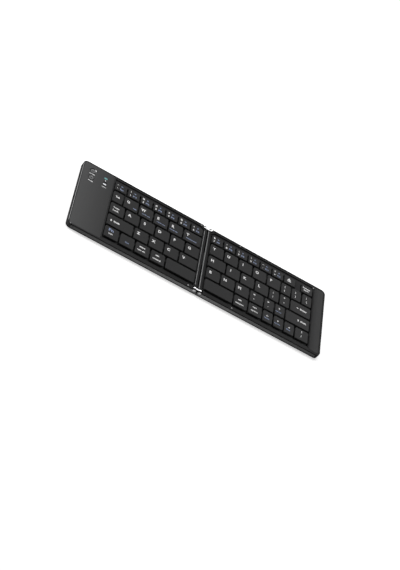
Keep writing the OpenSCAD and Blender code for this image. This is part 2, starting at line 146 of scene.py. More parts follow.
LETTERS = {
    (-1, 1): "qwert", (-1, 2): "asdfg", (-1, 3): "zxcv",
    (1, 1): "yuiop", (1, 2): "hjkl", (1, 3): "bnm",
}
KEY_NODES = {
    "left_space_bar": (-1, ((4, 4),)),
    "right_space_bar": (1, ((4, 0),)),
    "left_number_keys": (-1, tuple((0, n) for n in range(7))),
    "left_side_keys": (-1, ((1, 0), (2, 0), (3, 0), (4, 0), (4, 1), (4, 2), (4, 3))),
    "right_number_keys": (1, tuple((0, n) for n in range(9) if n != BARE_PLACE)),
    "right_side_keys": (1, ((2, 6), (3, 6), (4, 1), (4, 2), (4, 6))),
    "punctuation_keys": (1, ((1, 5), (1, 6), (1, 7), (2, 4), (2, 5), (3, 3), (3, 4))),
    "arrow_keys": (1, ((3, 5), (4, 3), (4, 4), (4, 5))),
}
for (side, row), letters in LETTERS.items():
    first = 1 if side < 0 else 0
    for n, letter in enumerate(letters):
        KEY_NODES["key_" + letter] = (side, ((row, first + n),))

# Printed marks that aren't letters: text or sign, middle in X and Y, height, width if it is fitted to
# one, and ink if it isn't white
MARKS = {
    "right_number_keys": [
        ("eject", 94.9, 31.8, 4.4, 4.2),
        ("Delete", 115.6, 32.6, 1.8, 8.4), ("back", 115.6, 30.0, 1.8, 6.0),
    ],
    "left_side_keys": [
        ("Tab", -97.6, 17.6, 2.3, 4.6),
        ("Caps", -96.4, 3.0, 2.0, 6.2), ("Lock", -96.4, -0.4, 2.0, 6.2),
        ("shift arrow", -98.7, -14.4, 2.6, 2.4), ("Shift", -92.9, -14.4, 2.0, 6.4),
        ("Fn", -96.2, -26.6, 3.4, 5.2, "slate"), ("lock", -96.0, -31.3, 1.6, 4.4),
        ("Ctrl", -78.9, -31.6, 1.7, 3.9, "slate"),
        ("start", -62.9, -27.4, 1.9, 6.0), ("opt alt", -63.6, -31.8, 1.9, 8.4),
        ("alt", -46.8, -27.4, 1.9, 3.8), ("control", -46.9, -32.3, 1.9, 8.4),
    ],
    "punctuation_keys": [
        ("{", 91.1, 19.7, 2.6), ("[", 91.1, 14.6, 2.6),
        ("}", 103.8, 19.7, 2.6), ("]", 103.8, 14.6, 2.6),
        ("|", 116.4, 19.7, 2.6), ("\\", 116.9, 14.8, 2.6),
        (":", 79.0, 4.3, 2.0), (";", 79.0, -0.9, 2.3),
        ("\"", 91.9, 5.2, 1.4), ("'", 91.9, -1.2, 1.4),
        ("<", 58.8, -10.9, 2.3), (",", 58.8, -16.7, 1.3),
        (">", 75.0, -10.9, 2.3), (".", 75.0, -17.0, 0.7),
    ],
    "right_side_keys": [
        ("Enter", 114.6, 1.8, 2.1, 8.0), ("left", 107.8, 1.6, 1.8, 3.0),
        ("shift arrow", 109.8, -13.6, 2.6, 2.4), ("Shift", 115.6, -13.6, 2.0, 6.6),
        ("alt", 44.3, -27.2, 1.9, 3.8), ("control", 44.3, -32.0, 1.9, 8.6),
        ("opt", 61.0, -27.0, 1.9, 4.8), ("option", 61.0, -31.6, 1.9, 8.0),
        ("?", 115.0, -26.0, 2.6), ("/", 114.7, -31.6, 2.6),
    ],
    "arrow_keys": [
        ("up", 87.7, -12.0, 2.4, 2.2), ("Pg Up", 87.2, -16.3, 1.5, 6.2, "slate"),
        ("left", 75.5, -28.8, 2.0, 2.6), ("Home", 75.2, -31.8, 1.5, 5.6, "slate"),
        ("down", 87.6, -28.1, 2.4, 2.2), ("Pg Dn", 87.2, -32.1, 1.5, 6.2, "slate"),
        ("right", 100.6, -28.8, 2.0, 2.6), ("End", 99.8, -31.8, 1.5, 4.4, "slate"),
    ],
    "key_q": [("set", -78.6, 14.2, 1.3, 3.4, "slate")],
    "key_w": [("mode one", -66.4, 14.2, 1.3, 8.6, "slate")],
    "key_e": [("mode two", -49.8, 14.2, 1.3, 9.4, "slate")],
    "key_r": [("mode six", -35.8, 14.2, 1.3, 8.8, "slate")],
    "key_t": [("reconnect", -16.0, 14.2, 1.3, 11.4, "slate")],
}
# Number row: the upper and lower sign of each key and its second function
DIGITS = {
    "left_number_keys": (-1, (("~", "`", "Esc"), ("!", "1", "F1"), ("@", "2", "F2"), ("#", "3", "F3"),
                              ("$", "4", "F4"), ("%", "5", "F5"), ("^", "6", "F6"))),
    "right_number_keys": (1, (("&", "7", "F7"), ("*", "8", "F8"), ("(", "9", "F9"), (")", "0", "F10"),
                              ("_", "-", "F11"), ("+", "=", "F12"))),
}
DIGIT_HEIGHT = 2.3
LOW_SIGNS = {"_": 0.4, "-": 0.4, "~": 0.7, "=": 1.0, "`": 0.8, "*": 1.5, "^": 1.2, "+": 1.7}
DIGIT_ARROWS = ("left", "right", "up", "down")
HALVES = ((-1, "left"), (1, "right"))


# Flat outlines and what is made from them

def rounded(x0, x1, y0, y1, radii, steps=8):
    """A rectangle with round corners as a function of how far it is moved in, alike all round or
    by one distance in X and one in Y: a counterclockwise outline from the front left corner on.
    Each corner is a quarter circle about a centre one radius in from both sides, and the radius
    shrinks as the outline moves in."""
    side_x = np.array([1, -1, -1, 1.0])[:, None]
    side_y = np.array([1, 1, -1, -1.0])[:, None]
    a = np.radians([180, 270, 0, 90])[:, None] + np.linspace(0, np.pi / 2, steps)[None]

    def outline(d=0.0):
        dx, dy = np.broadcast_to(np.asarray(d, float), (2,))
        r = np.maximum(np.broadcast_to(np.asarray(radii, float), (4,)) - (dx + dy) / 2, 0.02)[:, None]
        cx = np.array([x0 + dx, x1 - dx, x1 - dx, x0 + dx])[:, None] + side_x * r
        cy = np.array([y0 + dy, y0 + dy, y1 - dy, y1 - dy])[:, None] + side_y * r
        return np.stack([cx + r * np.cos(a), cy + r * np.sin(a)], -1).reshape(-1, 2)

    return outline


def circle(cx, cy, r, steps=48):
    """Counterclockwise circle: centre plus radius times cosine and sine."""
    a = np.linspace(0, 2 * np.pi, steps, endpoint=False)
    return np.stack([cx + r * np.cos(a), cy + r * np.sin(a)], -1)


def inset(outline, d):
    """Moves each corner of a closed outline inwards by d: along the sum of its two edges' outward
    normals, divided by one plus their dot product, so that every edge moves by d."""
    if callable(outline):
        return outline(d)
    edge = np.roll(outline, -1, 0) - outline
    edge /= np.linalg.norm(edge, axis=1, keepdims=True)
    out = np.stack([edge[:, 1], -edge[:, 0]], -1)
    before = np.roll(out, 1, 0)
    return outline - d * (before + out) / (1 + np.sum(before * out, 1, keepdims=True))


def solid(outline, levels, axis="z", closed=False):
    """A surface carried up an outline. Level (h, d) is the outline at height h, moved in by d.
    Neighbouring levels are joined by quads, and the first and last one are filled, or joined to
    each other if closed. Axis y lays it along Y, with the outline in X and Z."""
    outlines = np.array([inset(outline, d) for h, d in levels])
    heights = np.array([h for h, d in levels])[:, None, None] + np.zeros(outlines.shape[:2] + (1,))
    rings = np.concatenate([outlines, heights], 2)
    count, n = rings.shape[:2]
    k = np.arange(n)
    low = np.arange(count if closed else count - 1)[:, None] * n
    high = (low + n) % (count * n)
    quads = np.stack([low + k, low + (k + 1) % n, high + (k + 1) % n, high + k], -1)
    faces = [tuple(f) for f in quads.reshape(-1, 4).tolist()]
    if not closed:
        faces += [tuple(k[::-1].tolist()), tuple((k + (count - 1) * n).tolist())]
    verts = rings.reshape(-1, 3)
    if axis == "y":
        verts, faces = verts[:, [0, 2, 1]], [f[::-1] for f in faces]
    return verts, faces


def joined(*parts):
    """Several solids as one list of points and faces, each part's numbers shifted past the last."""
    starts = np.cumsum([0] + [len(v) for v, _ in parts])
    faces = [tuple(i + s for i in f) for (_, fs), s in zip(parts, starts.tolist()) for f in fs]
    return np.concatenate([v for v, _ in parts]), faces


def sided(part, side):
    """The part on the right, or mirrored to the left with its faces turned round again."""
    verts, faces = part
    if side > 0:
        return part
    return verts * [-1, 1, 1], [f[::-1] for f in faces]


def both_ends(part):
    """A part at the back and its mirror image at the front."""
    verts, faces = part
    return joined(part, (verts * [1, -1, 1], [f[::-1] for f in faces]))


def edge_round(z, r, steps=4, top=True):
    """Levels of a quarter round of radius r that ends at height z, then a narrow flat ring so that
    the face inside it shades flat."""
    a = np.linspace(0, np.pi / 2, steps + 1)
    if top:
        return [(z - r + r * np.sin(t), r - r * np.cos(t)) for t in a] + [(z, r + 0.05)]
    return [(z, r + 0.05)] + [(z + r - r * np.sin(t), r - r * np.cos(t)) for t in a[::-1]]


def make(name, part, materials, smooth=30):
    """A mesh object from points in millimetres, shaded smooth up to an angle."""
    verts, faces = part
    mesh = bpy.data.meshes.new(name)
    mesh.from_pydata((np.asarray(verts) * MM).tolist(), [], faces)
    obj = bpy.data.objects.new(name, mesh)
    bpy.context.scene.collection.objects.link(obj)
    for m in materials:
        mesh.materials.append(m)
    shade(obj, smooth)
    return obj


def shade(obj, smooth=30):
    """Smooth shading, with sharp edges where faces meet at more than an angle in degrees."""
    mesh = obj.data
    mesh.polygons.foreach_set("use_smooth", np.ones(len(mesh.polygons), bool))
    mesh.set_sharp_from_angle(angle=np.radians(smooth))
    mesh.update()


def mirror(obj):
    """Mirrors a mesh to the left half, turning its faces round again."""
    obj.data.transform(Matrix.Diagonal((-1, 1, 1, 1)))
    obj.data.flip_normals()
    shade(obj)


def carve(obj, cuts=(), adds=()):
    """Adds solids to a mesh, then cuts solids out of it, with Boolean modifiers that are applied."""
    tools = []
    for parts, how in ((adds, "UNION"), (cuts, "DIFFERENCE")):
        for part in parts:
            tool = make("tool", part, [])
            mod = obj.modifiers.new("tool", "BOOLEAN")
            mod.object, mod.operation, mod.solver = tool, how, "EXACT"
            tools.append(tool)
    depsgraph = bpy.context.evaluated_depsgraph_get()
    mesh = bpy.data.meshes.new_from_object(obj.evaluated_get(depsgraph))
    old = obj.data
    obj.modifiers.clear()
    obj.data = mesh
    mesh.name = old.name
    bpy.data.meshes.remove(old)
    for tool in tools:
        data = tool.data
        bpy.data.objects.remove(tool)
        bpy.data.meshes.remove(data)
    if not mesh.polygons:
        raise RuntimeError(obj.name + " was cut away")
    shade(obj)


def faces_of(obj):
    """Middles in millimetres and normals of all faces."""
    count = len(obj.data.polygons)
    middle, normal = np.empty(count * 3), np.empty(count * 3)
    obj.data.polygons.foreach_get("center", middle)
    obj.data.polygons.foreach_get("normal", normal)
    return middle.reshape(-1, 3) / MM, normal.reshape(-1, 3)


def paint(obj, *masks):
    """Gives the faces of the first mask the second material, those of the second the third."""
    index = np.zeros(len(obj.data.polygons), np.int32)
    for i, mask in enumerate(masks):
        index[mask] = i + 1
    obj.data.polygons.foreach_set("material_index", index)
    obj.data.update()


def finish(obj, body, slot, *nodes):
    """Tells the frame which body a piece rides on and hides the nodes it stands for; slot, its finish, is not
    used.
    """
    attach(obj, body)
    if nodes:
        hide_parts(*nodes)
    return obj


# Outlines of the case

def half_outline(x0=SEAM):
    return rounded(x0, HALF_W, -HALF_D, HALF_D, (0.1, CORNER, CORNER, 0.1))


def well_outline(side):
    """The key well, with its two seam corners cut off beside the hinges."""
    x0, x1 = WELL[side]
    y0, y1 = WELL_Y
    cx, cy = WELL_CUT
    return np.array([(x0, y0 + cy), (x0 + cx, y0), (x1, y0), (x1, y1), (x0 + cx, y1), (x0, y1 - cy)])


def opening_outline(side):
    x0, x1 = WELL[side][0] + 1.3, WELL[side][1] - 0.25
    y0, y1 = OPEN_Y
    if side < 0:
        return rounded(x0, x1, y0, y1, 0.4)
    a, b, y = BARE
    return np.array([(x0, y0), (x1, y0), (x1, y1), (b, y1), (b, y), (a, y), (a, y1), (x0, y1)])


def cover_outline(side, gap=0.0):
    x0, border = COVER[side]
    r = CORNER - border
    return rounded(x0 + gap, HALF_W - border - gap, -HALF_D + border + gap, HALF_D - border - gap,
                   (0.25, r - gap, r - gap, 0.25))


def pocket():
    """Space for a link at each end: a half circle below the axis, open to the seam and the top."""
    a = np.linspace(-np.pi / 2, 0, 13)
    low = np.stack([AXIS_X + POCKET_R * np.cos(a), AXIS_Z + POCKET_R * np.sin(a)], -1)
    rest = np.array([(AXIS_X + POCKET_R, RIM + 1), (-1.0, RIM + 1), (-1.0, AXIS_Z - POCKET_R)])
    return both_ends(solid(np.concatenate([low, rest]), [(POCKET_Y, 0), (HALF_D + 1, 0)], "y"))


def bridge_notch():
    """Space for the cable bridge: what is left of the rail there is a barrel round its axis."""
    a = np.linspace(-np.pi / 2, -3 * np.pi / 2, 25)
    arc = np.stack([AXIS_X + BARREL_R * np.cos(a), AXIS_Z + BARREL_R * np.sin(a)], -1)
    outline = np.concatenate([arc, [(AXIS_X, RIM + 1), (-1.0, RIM + 1), (-1.0, RAIL_LOW - 0.1)]])
    y = BRIDGE_Y + 0.4
    return solid(outline[::-1], [(-y, 0), (y, 0)], "y")


def flared(outline, low, top, flare):
    """A cutter for an opening with a small chamfer round its upper edge."""
    return solid(outline, [(low, 0), (top - flare, 0), (top, -flare), (top + 1, -flare)])


def posts(places, r, low, high):
    return [solid(circle(x, y, r), [(low, 0), (high, 0)]) for x, y in places]


# Shader node groups, which put out only values, colours and heights that change over a surface

def node(tree, kind, x, y, **values):
    """One node at a place, with its properties or, for inputs, its values set by name."""
    n = tree.nodes.new(kind)
    n.location = (x, y)
    for key, value in values.items():
        if hasattr(n, key):
            setattr(n, key, value)
        else:
            n.inputs[key.replace("_", " ")].default_value = value
    return n


def link(output, socket):
    output.id_data.links.new(output, socket)


def new_group(name, inputs, outputs):
    tree = bpy.data.node_groups.new(name, "ShaderNodeTree")
    for title, default in inputs:
        kind = "NodeSocketColor" if isinstance(default, tuple) else "NodeSocketFloat"
        s = tree.interface.new_socket(title, in_out="INPUT", socket_type=kind)
        s.default_value = default
    for title, kind in outputs:
        tree.interface.new_socket(title, in_out="OUTPUT", socket_type=kind)
    return tree, node(tree, "NodeGroupInput", -900, 0), node(tree, "NodeGroupOutput", 700, 0)


def math(tree, operation, a, b, x, y):
    """A math node on two sockets or numbers."""
    n = node(tree, "ShaderNodeMath", x, y, operation=operation)
    for i, value in enumerate((a, b)):
        if isinstance(value, (int, float)):
            n.inputs[i].default_value = value
        else:
            link(value, n.inputs[i])
    return n.outputs[0]


def tinted(tree, start, end, factor):
    """Puts out the group's colour times a factor."""
    tint = node(tree, "ShaderNodeVectorMath", 500, 100, operation="SCALE")
    link(start.outputs["Colour"], tint.inputs[0])
    link(factor, tint.inputs["Scale"])
    link(tint.outputs[0], end.inputs["Colour"])


def varied(tree, start, end, change, height):
    """Puts out the height, the colour made lighter or darker by twice the change, and the roughness
    moved by the change, each in its own amount."""
    shift = math(tree, "MULTIPLY", change, start.outputs["Tone change"], 60, -300)
    tinted(tree, start, end, math(tree, "ADD", math(tree, "MULTIPLY", shift, 2.0, 200, -300), 1.0, 340, -300))
    wobble = math(tree, "MULTIPLY", change, start.outputs["Roughness change"], 60, -550)
    link(math(tree, "ADD", start.outputs["Roughness"], wobble, 340, -550), end.inputs["Roughness"])
    link(height, end.inputs["Height"])


VARIED_OUTPUTS = [("Colour", "NodeSocketColor"), ("Roughness", "NodeSocketFloat"),
                  ("Height", "NodeSocketFloat")]


def grain_group():
    """Moulded or blasted grain: two sizes of noise for the height, a broad one for the tone."""
    tree, start, end = new_group(
        "Fine grain",
        [("Colour", (0.05, 0.05, 0.05, 1)), ("Grain size", 0.0004), ("Tone change", 0.08),
         ("Roughness", 0.5), ("Roughness change", 0.08)], VARIED_OUTPUTS)
    coords = node(tree, "ShaderNodeTexCoord", -900, -300)
    rate = math(tree, "DIVIDE", 1.0, start.outputs["Grain size"], -700, -300)
    fine = node(tree, "ShaderNodeTexNoise", -500, -200, Detail=3.0, Roughness=0.6)
    broad = node(tree, "ShaderNodeTexNoise", -500, -500, Scale=28.0, Detail=3.0)
    link(coords.outputs["Object"], fine.inputs["Vector"])
    link(coords.outputs["Object"], broad.inputs["Vector"])
    link(rate, fine.inputs["Scale"])
    speck = math(tree, "SUBTRACT", fine.outputs["Fac"], 0.5, -300, -200)
    cloud = math(tree, "SUBTRACT", broad.outputs["Fac"], 0.5, -300, -500)
    varied(tree, start, end, math(tree, "ADD", speck, cloud, -120, -350), fine.outputs["Fac"])
    return tree


def brushed_group():
    """Brushed metal: noise squeezed across the brushing, which runs along Y."""
    tree, start, end = new_group(
        "Brushing",
        [("Colour", (0.1, 0.1, 0.1, 1)), ("Across", 9000.0), ("Along", 60.0), ("Tone change", 0.15),
         ("Roughness", 0.35), ("Roughness change", 0.12)], VARIED_OUTPUTS)
    coords = node(tree, "ShaderNodeTexCoord", -900, -300)
    split = node(tree, "ShaderNodeSeparateXYZ", -740, -300)
    link(coords.outputs["Object"], split.inputs[0])
    meet = node(tree, "ShaderNodeCombineXYZ", -400, -300)
    for i, (axis, rate) in enumerate((("X", "Across"), ("Y", "Along"), ("Z", "Across"))):
        squeezed = math(tree, "MULTIPLY", split.outputs[axis], start.outputs[rate], -560, -200 - 150 * i)
        link(squeezed, meet.inputs[i])
    hair = node(tree, "ShaderNodeTexNoise", -220, -300, Scale=1.0, Detail=2.0, Roughness=0.5)
    link(meet.outputs[0], hair.inputs["Vector"])
    varied(tree, start, end, math(tree, "SUBTRACT", hair.outputs["Fac"], 0.5, -40, -300), hair.outputs["Fac"])
    return tree


def painted_light_group():
    """Painted light and shade: the tone changes slowly with the distance from the seam, between two
    distances in metres, as the lamps and their reflections would make it. With Both halves at
    nought the left half keeps the near tone."""
    tree, start, end = new_group(
        "Painted light and shade",
        [("Colour", (0.1, 0.1, 0.1, 1)), ("Both halves", 1.0), ("Near", 0.0), ("Far", 0.138),
         ("Near tone", 1.0), ("Far tone", 1.0)],
        [("Colour", "NodeSocketColor")])
    coords = node(tree, "ShaderNodeTexCoord", -900, -300)
    split = node(tree, "ShaderNodeSeparateXYZ", -740, -300)
    link(coords.outputs["Object"], split.inputs[0])
    turned = math(tree, "MULTIPLY", split.outputs["X"], -1.0, -700, -100)
    left = math(tree, "MULTIPLY", turned, start.outputs["Both halves"], -620, -100)
    slow = node(tree, "ShaderNodeMapRange", -400, -100)
    link(math(tree, "MAXIMUM", split.outputs["X"], left, -560, -200), slow.inputs["Value"])
    for ours, theirs in (("Near", "From Min"), ("Far", "From Max"),
                         ("Near tone", "To Min"), ("Far tone", "To Max")):
        link(start.outputs[ours], slow.inputs[theirs])
    tinted(tree, start, end, slow.outputs["Result"])
    return tree


def wear_group():
    """Handling on edges: lightens a colour where the edge mask is high and a noise lets it."""
    tree, start, end = new_group(
        "Edge wear",
        [("Colour", (0.05, 0.05, 0.05, 1)), ("Worn colour", (0.12, 0.12, 0.12, 1)), ("Edge", 0.0),
         ("Amount", 0.5)],
        [("Colour", "NodeSocketColor")],
    )
    coords = node(tree, "ShaderNodeTexCoord", -900, -300)
    patch = node(tree, "ShaderNodeTexNoise", -700, -300, Scale=160.0, Detail=4.0)
    link(coords.outputs["Object"], patch.inputs["Vector"])
    ramp = node(tree, "ShaderNodeMapRange", -500, -300, From_Min=0.35, From_Max=0.7)
    link(patch.outputs["Fac"], ramp.inputs["Value"])
    some = math(tree, "MULTIPLY", ramp.outputs["Result"], 0.6, -300, -300)
    some = math(tree, "ADD", some, 0.4, -160, -300)
    mask = math(tree, "MULTIPLY", some, start.outputs["Edge"], 0, -200)
    mask = math(tree, "MULTIPLY", mask, start.outputs["Amount"], 160, -200)
    mix = node(tree, "ShaderNodeMix", 400, 100, data_type="RGBA")
    link(mask, mix.inputs["Factor"])
    link(start.outputs["Colour"], mix.inputs[6])
    link(start.outputs["Worn colour"], mix.inputs[7])
    link(mix.outputs[2], end.inputs["Colour"])
    return tree


GROUPS = {}


def group(name):
    if not GROUPS:
        GROUPS.update({"grain": grain_group(), "brushed": brushed_group(), "wear": wear_group(),
                       "shade": painted_light_group()})
    return GROUPS[name]


MATERIALS = {}


def blank(name, metallic=0.0, **sockets):
    """A new material with its Principled shader; plain values go on the shader's own sockets."""
    m = bpy.data.materials.new(name)
    m.use_nodes = True
    shader = m.node_tree.nodes["Principled BSDF"]
    shader.inputs["Metallic"].default_value = metallic
    for key, value in sockets.items():
        shader.inputs[key.replace("_", " ")].default_value = value
    MATERIALS[name] = m
    return m, m.node_tree, shader


def surface(name, kind, colour, bump, values=None, edge=None, tones=None, metallic=0.0, **sockets):
    """A material whose colour, roughness and bump come from one of the groups. Bump is the depth
    in millimetres, values the group's own inputs, edge the colour that the marked edges wear to,
    and tones two distances from the seam in millimetres with their tones, for painted light and
    shade across the case."""
    m, tree, shader = blank(name, metallic, **sockets)
    g = node(tree, "ShaderNodeGroup", -500, 0)
    g.node_tree = group(kind)
    g.inputs["Colour"].default_value = (*colour, 1)
    for key, value in (values or {}).items():
        g.inputs[key].default_value = value
    out = g.outputs["Colour"]
    # Painted light and shade: the colour lightens or darkens with the distance from the seam
    if tones:
        slow = node(tree, "ShaderNodeGroup", -280, 400)
        slow.node_tree = group("shade")
        near, far, near_tone, far_tone = tones[:4]
        for key, value in (("Near", near * MM), ("Far", far * MM), ("Near tone", near_tone),
                           ("Far tone", far_tone), ("Both halves", float("right only" not in tones))):
            slow.inputs[key].default_value = value
        link(out, slow.inputs["Colour"])
        out = slow.outputs["Colour"]
    if edge:
        mask = node(tree, "ShaderNodeAttribute", -500, 300, attribute_name="edge")
        worn = node(tree, "ShaderNodeGroup", -280, 150)
        worn.node_tree = group("wear")
        worn.inputs["Worn colour"].default_value = (*edge, 1)
        link(out, worn.inputs["Colour"])
        link(mask.outputs["Fac"], worn.inputs["Edge"])
        out = worn.outputs["Colour"]
    link(out, shader.inputs["Base Color"])
    link(g.outputs["Roughness"], shader.inputs["Roughness"])
    relief = node(tree, "ShaderNodeBump", -280, -250, Strength=1.0, Distance=bump * MM)
    link(g.outputs["Height"], relief.inputs["Height"])
    link(relief.outputs["Normal"], shader.inputs["Normal"])
    return m


def sizes():
    return bpy.context.scene.keyboard_sizes


def colours():
    return bpy.context.scene.keyboard_colours


def rgb(value, factor=1.0):
    return tuple(c * factor for c in value)


def grained(size, rough=0.5, tone=0.08, spread=0.08):
    """Inputs of the grain group: size in millimetres, roughness, and how far each varies."""
    return {"Grain size": size * MM, "Roughness": rough, "Tone change": tone, "Roughness change": spread}


def hairlines(rough=0.35, tone=0.15, spread=0.12, across=9000.0, along=60.0):
    """Inputs of the brushing group: lines to a metre both ways, roughness, and how far each varies."""
    return {"Across": across, "Along": along, "Roughness": rough, "Tone change": tone,
            "Roughness change": spread}


def even(value):
    return (value, value, value)


def finishes():
    """Every finish by name: its group, colour, bump depth in millimetres, the group's inputs, and
    what else differs from a plain material."""
    c = colours()
    plastic, blasted = grained(0.35, 0.52, 0.07, 0.1), grained(0.22, 0.42, 0.08, 0.1)
    polished = hairlines(0.3, across=3000.0, along=3000.0)
    cover = hairlines(0.42, 0.1)

    def matt(level, **more):
        return {"Specular_IOR_Level": level, **more}

    return {
        # Painted light: keys on the right half grow lighter towards its far end
        "key plastic": ("grain", c.keys, 0.012, plastic,
                        matt(0.03, edge=rgb(c.keys, 1.1), tones=(15, 120, 1.0, 1.3, "right only"))),
        # Painted light: the rim grows lighter away from the seam
        "deck plastic": ("grain", c.deck, 0.01, plastic, matt(0.03, tones=(30, 120, 1.0, 1.5))),
        # Painted highlight: the bridge is a lighter copy of the deck plastic
        "bridge plastic with painted highlight": ("grain", rgb(c.deck, 1.8), 0.01, plastic, matt(0.03)),
        # Painted shade: near-black for the key well's walls and the gaps round the buttons
        "recess shade black": ("grain", even(0.007), 0.01, plastic, matt(0.02)),
        "bed plastic": ("grain", even(0.008), 0.012, plastic, matt(0.2)),
        "button plastic": ("grain", c.buttons, 0.006, grained(0.3, 0.35), {}),
        # Painted shade: near-black on the rim's outer faces, its back slope, the right end and the seam
        # flanks
        "edge shade black": ("grain", even(0.003), 0.006, grained(0.4, 0.55), matt(0.01)),
        "rubber": ("grain", even(0.017), 0.02, grained(0.5, 0.8, 0.15), {}),
        "bumper rubber": ("grain", even(0.32), 0.01, grained(0.4, 0.6), {}),
        "dome silicone": ("grain", (0.6, 0.6, 0.57), 0.01, grained(1.2, 0.55), {}),
        # Polished metal edges with painted highlight: full brightness on the lit edges, half on the right
        # seam
        "painted highlight edge": ("brushed", c.edge, 0.001, polished, {"metallic": 0.8}),
        "dim painted highlight edge": ("brushed", rgb(c.edge, 0.5), 0.001, polished, {"metallic": 0.8}),
        # Painted shade: a darker copy of the band metal for the band's faces round the end of the half
        "band metal in painted shade": ("grain", rgb(c.band, 0.36), 0.006, blasted, matt(0.0)),
        "pan metal": ("grain", c.pan, 0.008, blasted, matt(0.01)),
        # Painted reflection: the band is lightest by the seam and darkens towards the ends
        "band metal": ("grain", c.band, 0.006, blasted,
                       matt(0.1, metallic=0.3, tones=(8, 128, 1.5, 0.6))),
        # Painted light: the left cover grows lighter towards its outer end
        "left cover metal": ("brushed", c.cover, 0.002, cover,
                             matt(0.04, metallic=0.2, tones=(104, 138, 0.66, 1.2))),
        # Painted shade: the right cover is darker along its inner edge and lighter towards the end
        "right cover metal": ("brushed", c.cover, 0.002, cover,
                              matt(0.04, metallic=0.2, tones=(125, 131, 0.38, 0.64))),
        "chrome": ("brushed", (0.82, 0.82, 0.83), 0.0008, hairlines(0.12, 0.04, 0.1, 3000.0, 3000.0),
                   {"metallic": 1.0}),
        # Painted shade: near-black for the links' ends and lower half and the pins' sides
        "painted shade steel": ("grain", even(0.005), 0.002, grained(0.2, 0.45), matt(0.02)),
        "pin steel": ("brushed", (0.36, 0.36, 0.365), 0.001, hairlines(0.28, across=4000.0, along=4000.0),
                      {"metallic": 1.0}),
        "screw steel": ("grain", (0.09, 0.09, 0.092), 0.003, grained(0.15, 0.4), {"metallic": 1.0}),
        "socket steel": ("brushed", (0.5, 0.5, 0.51), 0.001, hairlines(0.3), {"metallic": 1.0}),
        "magnet nickel": ("grain", (0.56, 0.55, 0.53), 0.002, grained(0.6, 0.25), {"metallic": 1.0}),
        "foil": ("grain", (0.5, 0.5, 0.52), 0.25, grained(6.0, 0.35, 0.1), {"metallic": 0.9}),
        "white ink": ("grain", c.ink, 0.002, grained(0.3, 0.5, 0.04), matt(0.05)),
        "slate ink": ("grain", c.slate, 0.002, grained(0.3, 0.5, 0.04), matt(0.05)),
        # Painted shade: black ink bars round the white lens stand in for the shade of its hole
        "black ink": ("grain", even(0.004), 0.002, grained(0.3, 0.5, 0.04), matt(0.05)),
    }


def keyed(name):
    """The named material, made the first time that it is asked for."""
    if name not in MATERIALS:
        kind, colour, bump, values, rest = finishes()[name]
        surface(name, kind, colour, bump, values, **rest)
    return MATERIALS[name]


def lamp_material(name, colour, strength):
    """Lens lit from below, with a colour and glow that a fine grain makes uneven."""
    m, tree, shader = blank(name, Roughness=0.3, IOR=1.45, Emission_Strength=strength)
    g = node(tree, "ShaderNodeGroup", -500, 0)
    g.node_tree = group("grain")
    g.inputs["Colour"].default_value = (*colour, 1)
    g.inputs["Grain size"].default_value = 0.0005
    link(g.outputs["Colour"], shader.inputs["Base Color"])
    link(g.outputs["Colour"], shader.inputs["Emission Color"])
    link(g.outputs["Roughness"], shader.inputs["Roughness"])
    return m


def board_material():
    """Green solder mask over copper: a brick pattern stands for the runs of track."""
    m, tree, shader = blank("solder mask", Coat_Weight=0.3)
    coords = node(tree, "ShaderNodeTexCoord", -900, 0)
    tracks = node(tree, "ShaderNodeTexBrick", -600, 0, Scale=420.0, offset=0.35)
    tracks.inputs["Color1"].default_value = (0.012, 0.10, 0.035, 1)
    tracks.inputs["Color2"].default_value = (0.016, 0.13, 0.045, 1)
    tracks.inputs["Mortar"].default_value = (0.03, 0.2, 0.07, 1)
    link(coords.outputs["Object"], tracks.inputs["Vector"])
    link(tracks.outputs["Color"], shader.inputs["Base Color"])
    relief = node(tree, "ShaderNodeBump", -300, -250, Strength=0.6, Distance=0.03 * MM)
    link(tracks.outputs["Fac"], relief.inputs["Height"])
    link(relief.outputs["Normal"], shader.inputs["Normal"])
    return m


def flex_material():
    """Amber film with copper tracks that run across the seam: a sine along Y."""
    m, tree, shader = blank("amber film", Roughness=0.35)
    coords = node(tree, "ShaderNodeTexCoord", -900, 0)
    tracks = node(tree, "ShaderNodeTexWave", -600, 0, bands_direction="Y", Scale=260.0)
    link(coords.outputs["Object"], tracks.inputs["Vector"])
    ramp = node(tree, "ShaderNodeValToRGB", -350, 0)
    ramp.color_ramp.elements[0].color = (0.35, 0.14, 0.03, 1)
    ramp.color_ramp.elements[1].color = (0.62, 0.3, 0.1, 1)
    link(tracks.outputs["Fac"], ramp.inputs["Fac"])
    link(ramp.outputs["Color"], shader.inputs["Base Color"])
    return m


# Keys and what is printed on them

def key_box(side, row, n):
    """Middle and size of one cap, from the widths before it in its row."""
    s = sizes()
    pitch, gap = s.key_pitch / MM, s.key_gap / MM
    widths = LEFT_ROWS[row] if side < 0 else RIGHT_ROWS[row]
    start = -FIELD_X - sum(LEFT_ROWS[row]) * pitch if side < 0 else FIELD_X
    x = start + pitch * (sum(widths[:n]) + widths[n] / 2)
    depth = (s.number_cap_depth if row == 0 else s.cap_depth) / MM
    return x + CAP_SHIFT[0], ROW_Y[row] + CAP_SHIFT[1], widths[n] * pitch - gap, depth, widths[n]


